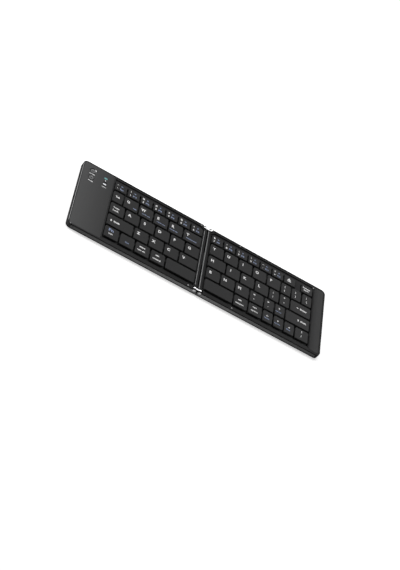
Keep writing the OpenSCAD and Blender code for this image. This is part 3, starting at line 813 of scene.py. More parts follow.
def cap(side, row, n):
    """One cap as a single loft: down the inside of its skirt, under the skirt's edge, up the
    outside, over a quarter round and onto the flat top. Its stems, one or for a wide cap two, are
    lofts of their own that end inside the top."""
    x, y, w, d, units = key_box(side, row, n)
    r = sizes().cap_edge / MM
    outline = rounded(x - w / 2, x + w / 2, y - d / 2, y + d / 2, 1.2, 7)
    levels = [(CAP_UNDER, 1.05), (CAP_UNDER, 1.0), (SKIRT + 0.06, 1.0), (SKIRT, 0.94), (SKIRT, 0.1),
              (SKIRT + 0.1, 0.0)] + edge_round(CAP_TOP, r)
    parts = [solid(outline, levels)]
    apart = 0.28 * units * sizes().key_pitch / MM
    places = (-apart, apart) if units > 1.6 else (0.0,)
    for dx in places:
        sx, sy = x + dx - CAP_SHIFT[0], y - CAP_SHIFT[1]
        stem = rounded(sx - STEM / 2, sx + STEM / 2, sy - STEM / 2, sy + STEM / 2, 0.3, 3)
        parts.append(solid(stem, [(STEM_LOW, 0.25), (STEM_LOW + 0.25, 0), (CAP_UNDER + 0.3, 0)]))
    return joined(*parts)


def mark_edges(obj, top, width):
    """Writes the edge mask: one on points in the rounding just below the top, nought elsewhere."""
    co = np.empty(len(obj.data.vertices) * 3)
    obj.data.vertices.foreach_get("co", co)
    z = co.reshape(-1, 3)[:, 2] / MM
    mask = ((z > top - width) & (z < top - 0.01)).astype(np.float32)
    obj.data.attributes.new("edge", "FLOAT", "POINT").data.foreach_set("value", mask)


def arrow(stem, wing):
    """An upward arrow one unit high: half the stem's width, and the height of its wings."""
    return np.array([(-0.5, wing), (-stem, wing), (-stem, -0.5), (stem, -0.5), (stem, wing), (0.5, wing),
                     (0.0, 0.5)])


UP_ARROW = arrow(0.12, 0.0)

# Signs that aren't text, as flat outlines in a box one unit high
SIGNS = {
    "up": [UP_ARROW],
    "down": [-UP_ARROW],
    "left": [UP_ARROW[:, ::-1] * [-1, 1]],
    "right": [UP_ARROW[:, ::-1] * [1, -1]],
    "shift arrow": [arrow(0.22, 0.02)],
    "bar": [rounded(-0.5, 0.5, -0.5, 0.5, 0.08, 3)()],
    "eject": [np.array([(-0.5, -0.12), (0.5, -0.12), (0.0, 0.5)]),
              rounded(-0.5, 0.5, -0.5, -0.28, 0.02, 2)()],
}


def counterclockwise(face, co):
    """The face as it is or turned round, by the sign of its area."""
    x, y = co[list(face)].T
    return face if np.sum(x * np.roll(y, -1) - np.roll(x, -1) * y) > 0 else face[::-1]


def text_shape(text, offset):
    """The built-in font's letters as flat faces, at the font's own size and place, their strokes grown by an
    offset.
    """
    curve = bpy.data.curves.new("text", "FONT")
    curve.body = text
    curve.resolution_u = 3
    curve.offset = offset
    obj = bpy.data.objects.new("text", curve)
    bpy.context.scene.collection.objects.link(obj)
    bpy.context.view_layer.update()
    mesh = obj.to_mesh()
    co = np.empty(len(mesh.vertices) * 3)
    mesh.vertices.foreach_get("co", co)
    co = co.reshape(-1, 3)[:, :2].copy()
    faces = [tuple(p.vertices) for p in mesh.polygons]
    obj.to_mesh_clear()
    bpy.data.objects.remove(obj)
    bpy.data.curves.remove(curve)
    return co, faces


def printed(z, text, x, y, height, width=0.0):
    """One mark as points in millimetres and faces, its middle at x, y, a hair above height z."""
    z += INK
    outlines = SIGNS.get(text)
    if outlines:
        co = np.concatenate(outlines) * [width or height, height]
        starts = np.cumsum([0] + [len(o) for o in outlines]).tolist()
        faces = [counterclockwise(tuple(range(a, b)), co) for a, b in zip(starts, starts[1:])]
    else:
        co, faces = text_shape(text, sizes().boldness)
        low, high = co.min(0), co.max(0)
        co = co - (low + high) / 2
        if width:
            co = co * [width / (high[0] - low[0]), height / (high[1] - low[1])]
        else:
            co = co * (height / (high[1] - low[1]))
    return np.c_[co + [x, y], np.full(len(co), z)], faces


def print_marks(name, marks, z):
    """All marks of one piece as one object, with the ink that each one names."""
    parts = [printed(z, *mark[:5]) for mark in marks]
    inks = ("white", "slate", "black")
    obj = make(name, joined(*parts), [keyed(ink + " ink") for ink in inks])
    numbers = [inks.index(mark[5]) if len(mark) > 5 else 0 for mark in marks]
    tones = np.repeat(numbers, [len(faces) for _, faces in parts])
    obj.data.polygons.foreach_set("material_index", tones.astype(np.int32))
    return obj


def marks_of(name):
    """Every mark of one node: its own list, plus the letter or the digits placed from its caps."""
    marks = list(MARKS.get(name, ()))
    if name.startswith("key_"):
        side, ((row, n),) = KEY_NODES[name]
        x, y, w, d, _ = key_box(side, row, n)
        letter = name.removeprefix("key_").upper()
        marks.append((letter, x - w / 2 + 3.9, y + d / 2 - 5.1, sizes().letter_height / MM))
    if name in DIGITS:
        side, digits = DIGITS[name]
        for n, (upper, lower, extra) in enumerate(digits):
            x, y, w, d, _ = key_box(side, 0, n)
            left = x - w / 2
            marks += [(upper, left + 2.4, y + 2.2, LOW_SIGNS.get(upper, DIGIT_HEIGHT)),
                      (lower, left + 2.4, y - 2.1, LOW_SIGNS.get(lower, DIGIT_HEIGHT)),
                      (extra, left + 7.0, y - 1.8, 1.9, 3.6, "slate"),
                      (DIGIT_ARROWS[n % 4], left + 6.8, y + 2.0, 1.8, 2.4, "slate")]
    return marks


# What a user may change

def length(label, mm, text):
    return bpy.props.FloatProperty(name=label, description=text, default=mm * MM, min=0.0,
                                   unit="LENGTH", precision=5)


def colour(label, value, text):
    return bpy.props.FloatVectorProperty(name=label, description=text, default=value, subtype="COLOR",
                                         min=0.0, max=1.0)


class KeyboardSizes(bpy.types.PropertyGroup):
    key_pitch: length("Key pitch", 16.4, "Pitch of the letter keys across a row")
    key_gap: length("Key gap", 1.9, "Gap between neighbouring caps in a row")
    cap_depth: length("Cap depth", 13.5, "Depth of a cap, front to back")
    number_cap_depth: length("Number cap depth", 9.6, "Depth of a cap in the number row")
    cap_edge: length("Cap edge", 0.35, "Radius of the rounding round a cap's top")
    # The bead is a step in the rim; its dark colour is painted shade
    bead_width: length("Bead width", 1.1, "Width of the dark bead along the front and back of the rim")
    ring_width: length("Ring width", 0.45, "Width of the painted highlight edge inside the bead")
    letter_height: length("Letter height", 3.4, "Height of the printed letters")
    boldness: bpy.props.FloatProperty(name="Boldness", default=0.04, min=0.0, max=0.1,
                                      description="How far the print's strokes grow, in letter sizes")
    link_edge: length("Link edge", 0.28, "Radius of the rounding on the hinge links")


class KeyboardColours(bpy.types.PropertyGroup):
    keys: colour("Keys", (0.037, 0.037, 0.0374), "Plastic of the key caps")
    deck: colour("Deck", (0.022, 0.022, 0.0223), "Plastic of the rim and the key well")
    cover: colour("Covers", (0.062, 0.062, 0.0625), "Brushed covers at both ends")
    # Painted highlight: the colour of the edges where light would catch them
    edge: colour("Bright edge", (0.26, 0.26, 0.262), "Polished edges of the rim and the seam rails")
    band: colour("Side band", (0.12, 0.12, 0.121), "Metal band along the front and the back")
    pan: colour("Underside", (0.012, 0.012, 0.0122), "Lower shell")
    buttons: colour("Buttons", (0.07, 0.07, 0.072), "Plastic of the two round buttons")
    ink: colour("White print", (0.9, 0.9, 0.9), "Letters and digits on the keys")
    slate: colour("Slate print", (0.27, 0.32, 0.46), "Second functions on the keys")
    floor: colour("Floor", (0.8, 0.8, 0.8), "Ground under the keyboard")


class MakeShells(bpy.types.Operator):
    """Lower shells: a pan with a bevelled foot, a groove and a lighter band round the outer sides"""
    bl_idname = "keyboard.make_shells"
    bl_label = "Lower shells"

    def execute(self, context):
        for side, hand in HALVES:
            pan_levels = [(FOOT, 0.5), (FOOT, 0.4), (FOOT + 0.05, 0.25), (FOOT + 0.2, 0.08),
                          (FOOT + 0.35, 0.0), (GROOVE - 0.1, 0.0), (GROOVE, 0.08), (GROOVE, 0.42),
                          (SPLIT, 0.42), (SPLIT, WALL), (FLOOR, WALL)]
            seam_cut = solid(rounded(-1, RAIL_X + 0.05, -60, 60, 0.01, 2), [(RAIL_LOW, 0), (9, 0)])
            cuts = [seam_cut, pocket()]
            a, b = BAND_END - 0.12, BAND_END + 0.12
            ends = [solid(rounded(a, b, y - 0.25, y + 0.25, 0.01, 2), [(2.4, 0), (6, 0)])
                    for y in (-HALF_D, HALF_D)]
            u, v = np.array(PAD_HALF) + 0.05
            under = [solid(rounded(x - u, x + u, y - v, y + v, v - 0.01, 9), [(0, 0), (FOOT + 0.2, 0)])
                     for x, y in FEET]
            under += posts(SCREWS, 1.65, 0, 1.25) + posts(SCREWS, 0.85, 0, RIM)
            if side < 0:
                x, z = SOCKET
                u, v = np.array(SOCKET_HALF) + 0.08
                hole = rounded(-x - u, -x + u, z - v, z + v, v - 0.01, 9)
                flare = [(40, 0), (HALF_D - 0.2, 0), (HALF_D + 0.05, -0.25), (50, -0.25)]
                under.append(solid(hole, flare, "y"))
            pan = make(hand + "_pan", solid(half_outline(SEAM_LOW), pan_levels), [keyed("pan metal")])
            carve(pan, cuts + under)
            band_levels = [(2.0, 0.12), (2.12, 0.0), (5.0, 0.0), (5.2, 0.2), (5.2, 0.4), (2.0, 0.4)]
            band = make(hand + "_band", solid(half_outline(SEAM_LOW), band_levels, closed=True),
                        [keyed("band metal"), keyed("band metal in painted shade")])
            carve(band, cuts + ends + (under[-1:] if side < 0 else []))
            middle, normal = faces_of(band)
            # Painted shade: the band's faces past its end get the darker copy of the band metal
            paint(band, middle[:, 0] > BAND_END)
            for obj in (pan, band):
                if side < 0:
                    mirror(obj)
                finish(obj, hand + "_half", "shell", hand + "_tray")
        return {"FINISHED"}


class MakeDecks(bpy.types.Operator):
    """Decks: bevelled rim, key well with its ledge, seam rail, hinge pockets and cover pockets"""
    bl_idname = "keyboard.make_decks"
    bl_label = "Decks"

    def execute(self, context):
        bead, ring = sizes().bead_width / MM, sizes().ring_width / MM
        for side, hand in HALVES:
            side_in = 0.12 if side < 0 else 0.45
            plate = [(SPLIT, 0.3), (LIP, 0.3), (LIP, 0.0), (RIM - 0.28, 0.0), (RIM - 0.16, (0.03, 0.06)),
                     (RIM - 0.1, (side_in, bead)), (RIM, (side_in + ring, bead + ring)),
                     (RIM, (side_in + ring + 0.05, bead + ring + 0.05))]
            deck = make(hand + "_deck", solid(half_outline(), plate), [])
            adds = [solid(rail_outline(), [(-HALF_D + 0.1, 0), (HALF_D - 0.1, 0)], "y"),
                    solid(rounded(RAIL_X - 0.05, WELL[side][1] + 1, WELL_Y[0] - 1, WELL_Y[1] + 1, 0.2),
                          [(LEDGE_LOW, 0), (SPLIT + 0.2, 0)]),
                    solid(shelf_outline(side), [(LEDGE, 0), (SPLIT + 0.1, 0)])]
            adds += posts(SCREWS[2:], 2.2, FLOOR, COVER_LOW - 0.05)
            cuts = [flared(well_outline(side), LEDGE, RIM, 0.4),
                    flared(opening_outline(side), 3.5, LEDGE, 0.2),
                    flared(cover_outline(side), COVER_LOW, RIM, 0.12), pocket(), bridge_notch()]
            cuts += [both_ends(solid(circle(AXIS_X, AXIS_Z, 0.77, 32), [(35.5, 0), (45, 0)], "y"))]
            cuts += posts(SCREWS, 0.82, 0, 4.3)
            if side < 0:
                cuts += [flared(circle(-BUTTON_X, y, BUTTON_HOLE), 4, COVER_LOW, 0.05)
                         for y in BUTTON_Y.values()]
                cuts += [solid(lens_outline(y, d), [(4, 0), (7, 0)]) for y, d, _ in LENSES]
            carve(deck, cuts, adds)
            # Painted highlight: the left half's outer ring and rail edge, and the right half's seam edge at
            # half brightness
            seam_highlight = "painted highlight edge" if side < 0 else "dim painted highlight edge"
            for name in ("deck plastic", "edge shade black", seam_highlight, "recess shade black"):
                deck.data.materials.append(keyed(name))
            middle, normal = faces_of(deck)
            x, y, z = middle.T
            back, y = y > 0, np.abs(y)
            slope = (normal[:, 2] > 0.02) & (normal[:, 2] < 0.999)
            outer = (y > HALF_D - bead - ring) | (x > HALF_W - side_in - ring)
            ringed = slope & outer & (z > RIM - 0.1) & (x > HALF_W - CORNER)
            seam = slope & (x < SEAM + side_in + ring) & (z > RIM - 0.16) & (y < POCKET_Y)
            rail = slope & (np.abs(x - WELL[side][0]) < 0.45) & (z > RIM - 0.4)
            bright = seam if side > 0 else ringed | rail
            # Painted shade: these masks put near-black on the seam flanks, the rim's back slope and outer
            # faces, the right end and the right half's outer ring
            flank = (x < AXIS_X) & (normal[:, 0] < -0.1) | (x < SEAM + side_in + ring) & (side < 0)
            rim = slope & (y > HALF_D - bead - ring) & back | (y > HALF_D - 0.1)
            edge = (rim | (x > HALF_W - side_in) | flank | ringed & (side > 0)) & ~bright
            # Painted shade: the key well's walls below the rim, where shade falls, are near-black
            recess_shade = (z < RIM - 0.45) & (y < 40.5) & (x < WELL[side][1] + 0.5) & (normal[:, 2] < 0.5) & ~edge
            paint(deck, edge, bright, recess_shade)
            if side < 0:
                mirror(deck)
            finish(deck, hand + "_half", "deck", hand + "_frame")
        return {"FINISHED"}


def rail_outline():
    """The seam rail's section: a bar whose seam edges are rounded about the hinge axis."""
    top = np.arcsin((RIM - 0.4 - AXIS_Z) / RAIL_R)
    flat = np.arccos((AXIS_X - SEAM) / RAIL_R)
    low = np.arcsin((AXIS_Z - RAIL_LOW) / RAIL_R)
    upper, lower = np.linspace(top, flat, 5), -np.linspace(flat, low, 7)
    a = np.pi - np.concatenate([upper, lower])
    arc = np.stack([AXIS_X + RAIL_R * np.cos(a), AXIS_Z + RAIL_R * np.sin(a)], -1)
    return np.concatenate([[(RAIL_X, RAIL_LOW), (RAIL_X, RIM - 0.4)], arc])


def shelf_outline(side):
    """Under a cover: from the well's outer wall to just inside the lower shell's walls."""
    gap = WALL + 0.1
    return rounded(WELL[side][1] - 0.5, HALF_W - gap, -HALF_D + gap, HALF_D - gap,
                   (0.2, CORNER - gap, CORNER - gap, 0.2))


def lens_outline(y, d, gap=0.0):
    x = -LENS_X
    return rounded(x - LENS_W / 2 + gap, x + LENS_W / 2 - gap, y - d / 2 + gap, y + d / 2 - gap, 0.3, 4)


class MakeCovers(bpy.types.Operator):
    """Brushed covers over the electronics at the left and over the end of the right half"""
    bl_idname = "keyboard.make_covers"
    bl_label = "Covers"

    def execute(self, context):
        for (side, hand), cover_node in zip(HALVES, ("left_panel", "right_end_cover")):
            levels = [(COVER_LOW, 0.0)] + edge_round(RIM, 0.12, 2)
            cover = make(hand + "_cover", solid(cover_outline(side, COVER_GAP), levels),
                         [keyed("left cover metal" if side < 0 else "right cover metal")])
            if side < 0:
                cuts = [flared(circle(-BUTTON_X, y, BUTTON_HOLE, 64), 4, RIM, 0.4) for y in BUTTON_Y.values()]
                cuts += [flared(lens_outline(y, d), 4, RIM, 0.08) for y, d, _ in LENSES]
                carve(cover, cuts)
                # Painted highlight: a crescent of the power button's chamfer on its seam side
                cover.data.materials.append(keyed("painted highlight edge"))
                middle, normal = faces_of(cover)
                x, y, z = middle.T
                chamfer = (z > RIM - 0.4) & (z < RIM - 0.02) & (np.abs(normal[:, 2]) > 0.3)
                paint(cover, chamfer & (np.abs(y - BUTTON_Y["power_button"]) < 3.2) & (x < -BUTTON_X - 2.2)
                      & (x > -BUTTON_X - 4))
                mirror(cover)
            finish(cover, hand + "_half", "cover", cover_node)
        # The two black bars above and below the white lens are painted shade round it
        marks = [("POWER", BUTTON_X, 29.8, 1.15, 5.8), ("PAIR", BUTTON_X, 20.4, 1.1, 5.2),
                 ("CAPS", LENS_X - 0.2, 21.6, 1.0, 4.4), ("bar", LENS_X, 28.0, 1.5, 3.8, "black"),
                 ("bar", LENS_X, 23.8, 1.3, 3.9, "black")]
        finish(print_marks("cover_print", marks, RIM), "left_half", "cover")
        return {"FINISHED"}


class MakeButtons(bpy.types.Operator):
    """Two round buttons with a dished top, and their flanges under the cover"""
    bl_idname = "keyboard.make_buttons"
    bl_label = "Buttons"

    def execute(self, context):
        for name, y in BUTTON_Y.items():
            dish = [(BUTTON_TOP - DISH * (1 - ((BUTTON_R - d) / 2.1) ** 2), d)
                    for d in (0.6, 1.0, 1.5, 2.0, 2.3, 2.56)]
            disc = [(4.95, 0.0)] + edge_round(BUTTON_TOP, 0.45, 5)[:-1] + dish
            flange = solid(circle(BUTTON_X, y, FLANGE_R), [(4.4, 0.1), (4.5, 0), (4.95, 0), (5.0, 0.05)])
            button = make(name + "_disc", joined(flange, solid(circle(BUTTON_X, y, BUTTON_R), disc)),
                          [keyed("button plastic"), keyed("recess shade black")])
            middle, normal = faces_of(button)
            # Painted shade: the disc's sides and flange, down in the gap round it, are near-black
            paint(button, middle[:, 2] < BUTTON_TOP - 0.25)
            finish(button, name, "button", name)
        return {"FINISHED"}


class MakeLenses(bpy.types.Operator):
    """Two small lenses lit from below, one teal and one white, and a pin-point lamp between them"""
    bl_idname = "keyboard.make_lenses"
    bl_label = "Lenses"

    def execute(self, context):
        glow = {"teal lamp": ((0.12, 0.3, 0.3), 0.12), "white lamp": ((0.8, 0.82, 0.85), 0.3)}
        for y, d, name in LENSES:
            tint, strength = glow[name]
            block = solid(lens_outline(y, d, 0.1), [(LEDGE, 0)] + edge_round(RIM, 0.12, 3))
            lens = make(name.replace(" ", "_"), sided(block, -1), [lamp_material(name, tint, strength)])
            finish(lens, "left_half", "lens", "indicator_lenses")
        dot = make("small_lamp", solid(circle(LENS_X, 30.3, 0.6, 20), [(RIM - 0.05, 0), (RIM + 0.02, 0.05)]),
                   [lamp_material("small lamp", (0.7, 0.72, 0.74), 0.2)])
        finish(dot, "left_half", "lens")
        return {"FINISHED"}


class MakeKeys(bpy.types.Operator):
    """Key caps with a rounded edge, a hollow underside and their stems"""
    bl_idname = "keyboard.make_keys"
    bl_label = "Key caps"

    def execute(self, context):
        for name, (side, places) in KEY_NODES.items():
            caps = joined(*[cap(side, row, n) for row, n in places])
            obj = make("cap_" + name.removeprefix("key_"), caps, [keyed("key plastic")])
            mark_edges(obj, CAP_TOP, sizes().cap_edge / MM)
            finish(obj, name, "key_cap", name)
        return {"FINISHED"}


class MakePrint(bpy.types.Operator):
    """Letters, digits and signs printed on the caps in white and slate"""
    bl_idname = "keyboard.make_print"
    bl_label = "Printed marks"

    def execute(self, context):
        for name in KEY_NODES:
            marks = marks_of(name)
            if marks:
                finish(print_marks("print_" + name.removeprefix("key_"), marks, CAP_TOP), name, "key_cap")
        return {"FINISHED"}


class MakeHinge(bpy.types.Operator):
    """Polished links at both ends of the seam, their pins, and the spine over the cable"""
    bl_idname = "keyboard.make_hinge"
    bl_label = "Hinge"

    def execute(self, context):
        a0 = np.pi - np.arcsin(HALF_WEB / LINK_R)
        right = np.linspace(-a0, a0, 41)
        left = np.linspace(np.pi - a0, np.pi + a0, 41)
        outline = np.concatenate([
            np.stack([AXIS_X + LINK_R * np.cos(right), AXIS_Z + LINK_R * np.sin(right)], -1),
            np.stack([-AXIS_X + LINK_R * np.cos(left), AXIS_Z + LINK_R * np.sin(left)], -1)])
        e = sizes().link_edge / MM
        ends = [edge_round(y - LINK_DEPTH, e, 4, top=False) + edge_round(y, e, 4) for y in LINK_ENDS]
        verts, faces = solid(outline, ends[0], "y")
        front = verts * [1, -1, 1], [f[::-1] for f in faces]
        links = make("hinge_link_pair", joined(front, solid(outline, ends[1], "y")),
                     [keyed("chrome"), keyed("painted shade steel")])
        holes = [both_ends(solid(circle(x, AXIS_Z, 0.8, 32), [(38, 0), (43, 0)], "y"))
                 for x in (-AXIS_X, AXIS_X)]
        carve(links, holes)
        middle, normal = faces_of(links)
        # Painted shade: the links' flat end faces and lower half are near-black, leaving chrome on top
        paint(links, (np.abs(normal[:, 1]) > 0.98) | (middle[:, 2] < AXIS_Z))
        finish(links, "hinge_link", "chrome", "hinge_links")

        for side, hand in HALVES:
            shaft = solid(circle(AXIS_X, AXIS_Z, PIN_R, 32), [(35.5, 0.15), (35.65, 0), (42.5, 0)], "y")
            washer = solid(circle(AXIS_X, AXIS_Z, 1.45), [(42.1, 0.1), (42.15, 0), (42.5, 0)], "y")
            head = [(42.45, 0.1), (42.5, 0.0), (43.05, 0.0), (43.25, 0.1), (43.36, 0.3), (43.4, 0.6),
                    (43.4, 0.65), (43.22, 0.85), (43.22, 0.9)]
            pin = both_ends(joined(shaft, washer, solid(circle(AXIS_X, AXIS_Z, PIN_HEAD), head, "y")))
            obj = make(hand + "_pins", sided(pin, side), [keyed("painted shade steel"), keyed("pin steel")])
            middle, normal = faces_of(obj)
            # Painted shade: only the heads' end faces show steel; shafts, washers and the heads' rims are
            # near-black
            paint(obj, (np.abs(normal[:, 1]) > 0.85) & (np.abs(middle[:, 1]) > 43))
            finish(obj, hand + "_half", "pin_steel", hand + "_hinge_pins")

            a = np.linspace(np.pi, 2 * np.pi, 33)
            unit = np.stack([np.cos(a), np.sin(a)], -1)
            crescent = np.concatenate([POCKET_R * unit, 1.68 * unit[::-1]]) + [AXIS_X, AXIS_Z]
            collar = both_ends(solid(crescent, [(42.4, 0), (43.35, 0), (43.42, 0.06)], "y"))
            obj = make(hand + "_collars", sided(collar, side), [keyed("band metal")])
            finish(obj, hand + "_half", "shell")

        z = np.linspace(-1.7, 1.3, 25)
        x = np.minimum(1.55, AXIS_X - np.sqrt(FLANK_R ** 2 - z ** 2))
        flank = np.stack([x, AXIS_Z + z], -1)
        spine = np.concatenate([flank, (flank * [-1, 1])[::-1]])
        ends = [(-BRIDGE_Y, 0.15), (-BRIDGE_Y + 0.15, 0.0), (BRIDGE_Y - 0.15, 0.0), (BRIDGE_Y, 0.15)]
        # Painted highlight: the spine wears a lighter copy of the deck plastic
        bridge = make("bridge_spine", solid(spine, ends, "y"), [keyed("bridge plastic with painted highlight")])
        slot = solid(rounded(-4, 4, -6.1, 6.1, 0.05, 2), [(3.7, 0), (4.2, 0)])
        carve(bridge, [slot])
        finish(bridge, "hinge_link", "bridge", "cable_bridge")
        return {"FINISHED"}


class MakeFeet(bpy.types.Operator):
    """Rubber feet, screws with a cross recess, and the small bumpers on the rim"""
    bl_idname = "keyboard.make_feet"
    bl_label = "Feet, screws and bumpers"

    def execute(self, context):
        for side, hand in HALVES:
            body = hand + "_half"
            u, v = PAD_HALF
            feet = [solid(rounded(x - u, x + u, y - v, y + v, v - 0.01, 12),
                          edge_round(0.0, 0.3, 4, top=False) + [(1.0, 0)]) for x, y in FEET]
            finish(make(hand + "_rubber_feet", sided(joined(*feet), side), [keyed("rubber")]),
                   body, "rubber", hand + "_feet")
            heads, cross = [], []
            for x, y in SCREWS:
                levels = edge_round(FOOT, 0.15, 3, top=False) + [(1.25, 0)]
                heads.append(solid(circle(x, y, SCREW_HEAD, 40), levels))
                heads.append(solid(circle(x, y, SCREW_SHANK, 24), [(1.2, 0), (4.1, 0), (4.3, 0.2)]))
                cross += [solid(rounded(x - a, x + a, y - b, y + b, 0.05, 2), [(0, 0), (1.1, 0.02)])
                          for a, b in ((0.8, 0.17), (0.17, 0.8))]
            screws = make(hand + "_cross_screws", joined(*heads), [keyed("screw steel")])
            carve(screws, [joined(*cross[::2]), joined(*cross[1::2])])
            if side < 0:
                mirror(screws)
            finish(screws, body, "screw_steel", hand + "_screws")
        for name, body, places in (
                ("left_bumpers", "left_half", ((-10.6, -41.9), (-7.9, 41.4))),
                ("right_bumpers", "right_half", ((37.4, -41.6), (36.9, 41.6), (123.9, 39.3)))):
            levels = [(RIM - 0.05, 0), (RIM + 0.1, 0)] + edge_round(RIM + 0.3, 0.2, 3)
            dots = [solid(circle(x, y, 0.75, 24), levels) for x, y in places]
            finish(make(name, joined(*dots), [keyed("bumper rubber")]), body, "rubber")
        return {"FINISHED"}


class MakeSocket(bpy.types.Operator):
    """Charging socket in the back edge: a rolled shell, open to the back, with its tongue"""
    bl_idname = "keyboard.make_socket"
    bl_label = "Charging socket"

    def execute(self, context):
        x, z = SOCKET
        u, v = SOCKET_HALF
        outer = rounded(x - u, x + u, z - v, z + v, v - 0.01, 10)
        y = HALF_D - 0.1
        levels = [(y - 7.3, 0.1), (y - 7.2, 0.0), (y - 0.08, 0.0), (y, 0.08), (y, 0.22), (y - 0.08, 0.3),
                  (y - 6.3, 0.3)]
        tongue = solid(rounded(x - 3.35, x + 3.35, z - 0.35, z + 0.35, 0.2, 4),
                       [(y - 6.6, 0), (y - 1.1, 0), (y - 1.0, 0.1)], "y")
        shell = make("charging_shell", joined(solid(outer, levels, "y"), tongue), [keyed("socket steel")])
        finish(shell, "left_half", "socket_steel", "charge_socket")
        return {"FINISHED"}


class FinishInside(bpy.types.Operator):
    """Finishes for the carried-over pieces inside: beds, domes, board, cell, magnets and cable"""
    bl_idname = "keyboard.finish_inside"
    bl_label = "Inner pieces"

    def execute(self, context):
        inner = {
            "left_key_bed": keyed("bed plastic"), "right_key_bed": keyed("bed plastic"),
            "left_dome_sheet": keyed("dome silicone"), "right_dome_sheet": keyed("dome silicone"),
            "main_board": board_material(), "battery": keyed("foil"), "left_magnets": keyed("magnet nickel"),
            "flex_cable": flex_material(),
        }
        for name, material in inner.items():
            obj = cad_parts[name]
            for slot in obj.material_slots:
                slot.material = material
            if not obj.material_slots:
                obj.data.materials.append(material)
        return {"FINISHED"}


def stood(name, data, place, axes):
    """Puts a camera or a lamp at a place in metres, with its sideways, upward and backward axes."""
    obj = bpy.data.objects.new(name, data)
    turn = np.eye(4)
    turn[:3, :3] = np.stack(axes, 1)
    turn[:3, 3] = place
    obj.matrix_world = Matrix(turn.tolist())
    bpy.context.scene.collection.objects.link(obj)
    return obj


class MakeStage(bpy.types.Operator):
    """Pale floor, soft studio light and the camera at the photograph's viewing angle"""
    bl_idname = "keyboard.make_stage"
    bl_label = "Floor, light and camera"

    def execute(self, context):
        scene = context.scene
        scene.view_settings.view_transform = "Standard"
        corners = np.array([(-1, -1, 0), (1, -1, 0), (1, 1, 0), (-1, 1, 0)]) * 2500.0
        floor = make("floor", (corners, [(0, 1, 2, 3)]), [floor_material()])

        # The camera's place and axes were solved from the photograph's vanishing lines
        axes = ((0.83843766, 0.12196573, 0.53117479), (-0.44998953, 0.70476624, 0.54846511),
                (-0.30746011, -0.69887689, 0.64578585))
        place = np.array((-409.81, -968.55, 869.79)) * MM
        data = bpy.data.cameras.new("camera")
        data.sensor_fit, data.sensor_width, data.sensor_height, data.lens = "VERTICAL", 36.0, 36.0, 91.4
        data.clip_start, data.clip_end = 0.01, 20.0
        scene.camera = stood("camera", data, place, axes)

        for name, size, power, where, aim in (
                ("top light", (1.0, 0.7), 8.6, (-0.05, 0.4, 1.2), (0, 0, 0)),
                ("left light", (0.4, 0.5), 6.6, (-1.0, 0.12, 0.45), (0, 0, 0)),
                ("back right light", (0.35, 0.35), 0.6, (0.5, 0.62, 0.55), (0.08, 0, 0))):
            lamp = bpy.data.lights.new(name, "AREA")
            lamp.shape, lamp.size, lamp.size_y, lamp.energy = "RECTANGLE", *size, power
            forward = np.array(aim, float) - where
            forward /= np.linalg.norm(forward)
            sideways = np.cross(forward, (0, 0, 1))
            sideways /= np.linalg.norm(sideways)
            stood(name, lamp, where, (sideways, np.cross(sideways, forward), -forward))

        world = bpy.data.worlds.new("studio")
        scene.world = world
        world.use_nodes = True
        tree = world.node_tree
        plain = tree.nodes["Background"]
        plain.inputs["Color"].default_value = (1, 1, 1, 1)
        plain.inputs["Strength"].default_value = 0.12
        seen = node(tree, "ShaderNodeBackground", 0, -200)
        seen.inputs["Color"].default_value = (1, 1, 1, 1)
        mix = node(tree, "ShaderNodeMixShader", 200, 0)
        link(background_rays(tree), mix.inputs["Fac"])
        link(plain.outputs[0], mix.inputs[1])
        link(seen.outputs[0], mix.inputs[2])
        link(mix.outputs[0], tree.nodes["World Output"].inputs["Surface"])
        return {"FINISHED"}


def background_rays(tree):
    """One for rays that show the background: from the camera, off metal or through glass."""
    rays = node(tree, "ShaderNodeLightPath", -600, 200)
    seen = math(tree, "MAXIMUM", rays.outputs["Is Camera Ray"], rays.outputs["Is Glossy Ray"], -400, 200)
    return math(tree, "MAXIMUM", seen, rays.outputs["Is Transmission Ray"], -200, 200)


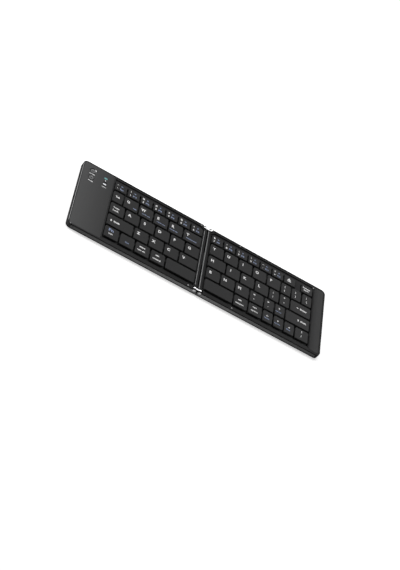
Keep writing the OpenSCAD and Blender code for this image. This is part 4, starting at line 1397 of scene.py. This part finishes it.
def floor_material():
    """Matt pale ground. Rays from the camera, mirrors and glass also see it lit from itself, so
    that it comes out white but still takes the keyboard's shadow. For other rays the mix's open
    input adds nothing."""
    m = bpy.data.materials.new("floor white")
    m.use_nodes = True
    tree = m.node_tree
    tree.nodes.remove(tree.nodes["Principled BSDF"])
    c = colours().floor
    diffuse = node(tree, "ShaderNodeBsdfDiffuse", 0, 0)
    diffuse.inputs["Color"].default_value = (*c, 1)
    glow = node(tree, "ShaderNodeEmission", 0, -200)
    glow.inputs["Strength"].default_value = 0.58
    choose = node(tree, "ShaderNodeMixShader", 200, -200)
    link(background_rays(tree), choose.inputs["Fac"])
    link(glow.outputs[0], choose.inputs[2])
    total = node(tree, "ShaderNodeAddShader", 400, 0)
    link(diffuse.outputs[0], total.inputs[0])
    link(choose.outputs[0], total.inputs[1])
    link(total.outputs[0], tree.nodes["Material Output"].inputs["Surface"])
    return m


OPERATORS = (MakeShells, MakeDecks, MakeCovers, MakeButtons, MakeLenses, MakeKeys, MakePrint, MakeHinge,
             MakeFeet, MakeSocket, FinishInside, MakeStage)


class KeyboardPanel(bpy.types.Panel):
    """Lists the sizes, the colours and the pieces"""
    bl_idname = "VIEW3D_PT_keyboard"
    bl_label = "Folding Keyboard"
    bl_space_type = "VIEW_3D"
    bl_region_type = "UI"
    bl_category = "Keyboard"

    def draw(self, context):
        for values in (context.scene.keyboard_sizes, context.scene.keyboard_colours):
            column = self.layout.column(align=True)
            for name in values.__annotations__:
                column.prop(values, name)
        column = self.layout.column()
        for operator in OPERATORS:
            column.operator(operator.bl_idname)


CLASSES = (KeyboardSizes, KeyboardColours, *OPERATORS, KeyboardPanel)


def register():
    for cls in CLASSES:
        bpy.utils.register_class(cls)
    bpy.types.Scene.keyboard_sizes = bpy.props.PointerProperty(type=KeyboardSizes)
    bpy.types.Scene.keyboard_colours = bpy.props.PointerProperty(type=KeyboardColours)


def unregister():
    del bpy.types.Scene.keyboard_colours
    del bpy.types.Scene.keyboard_sizes
    for cls in reversed(CLASSES):
        bpy.utils.unregister_class(cls)


def main():
    register()
    for operator in OPERATORS:
        family, name = operator.bl_idname.split(".")
        getattr(getattr(bpy.ops, family), name)()


if __name__ == "__main__":
    main()
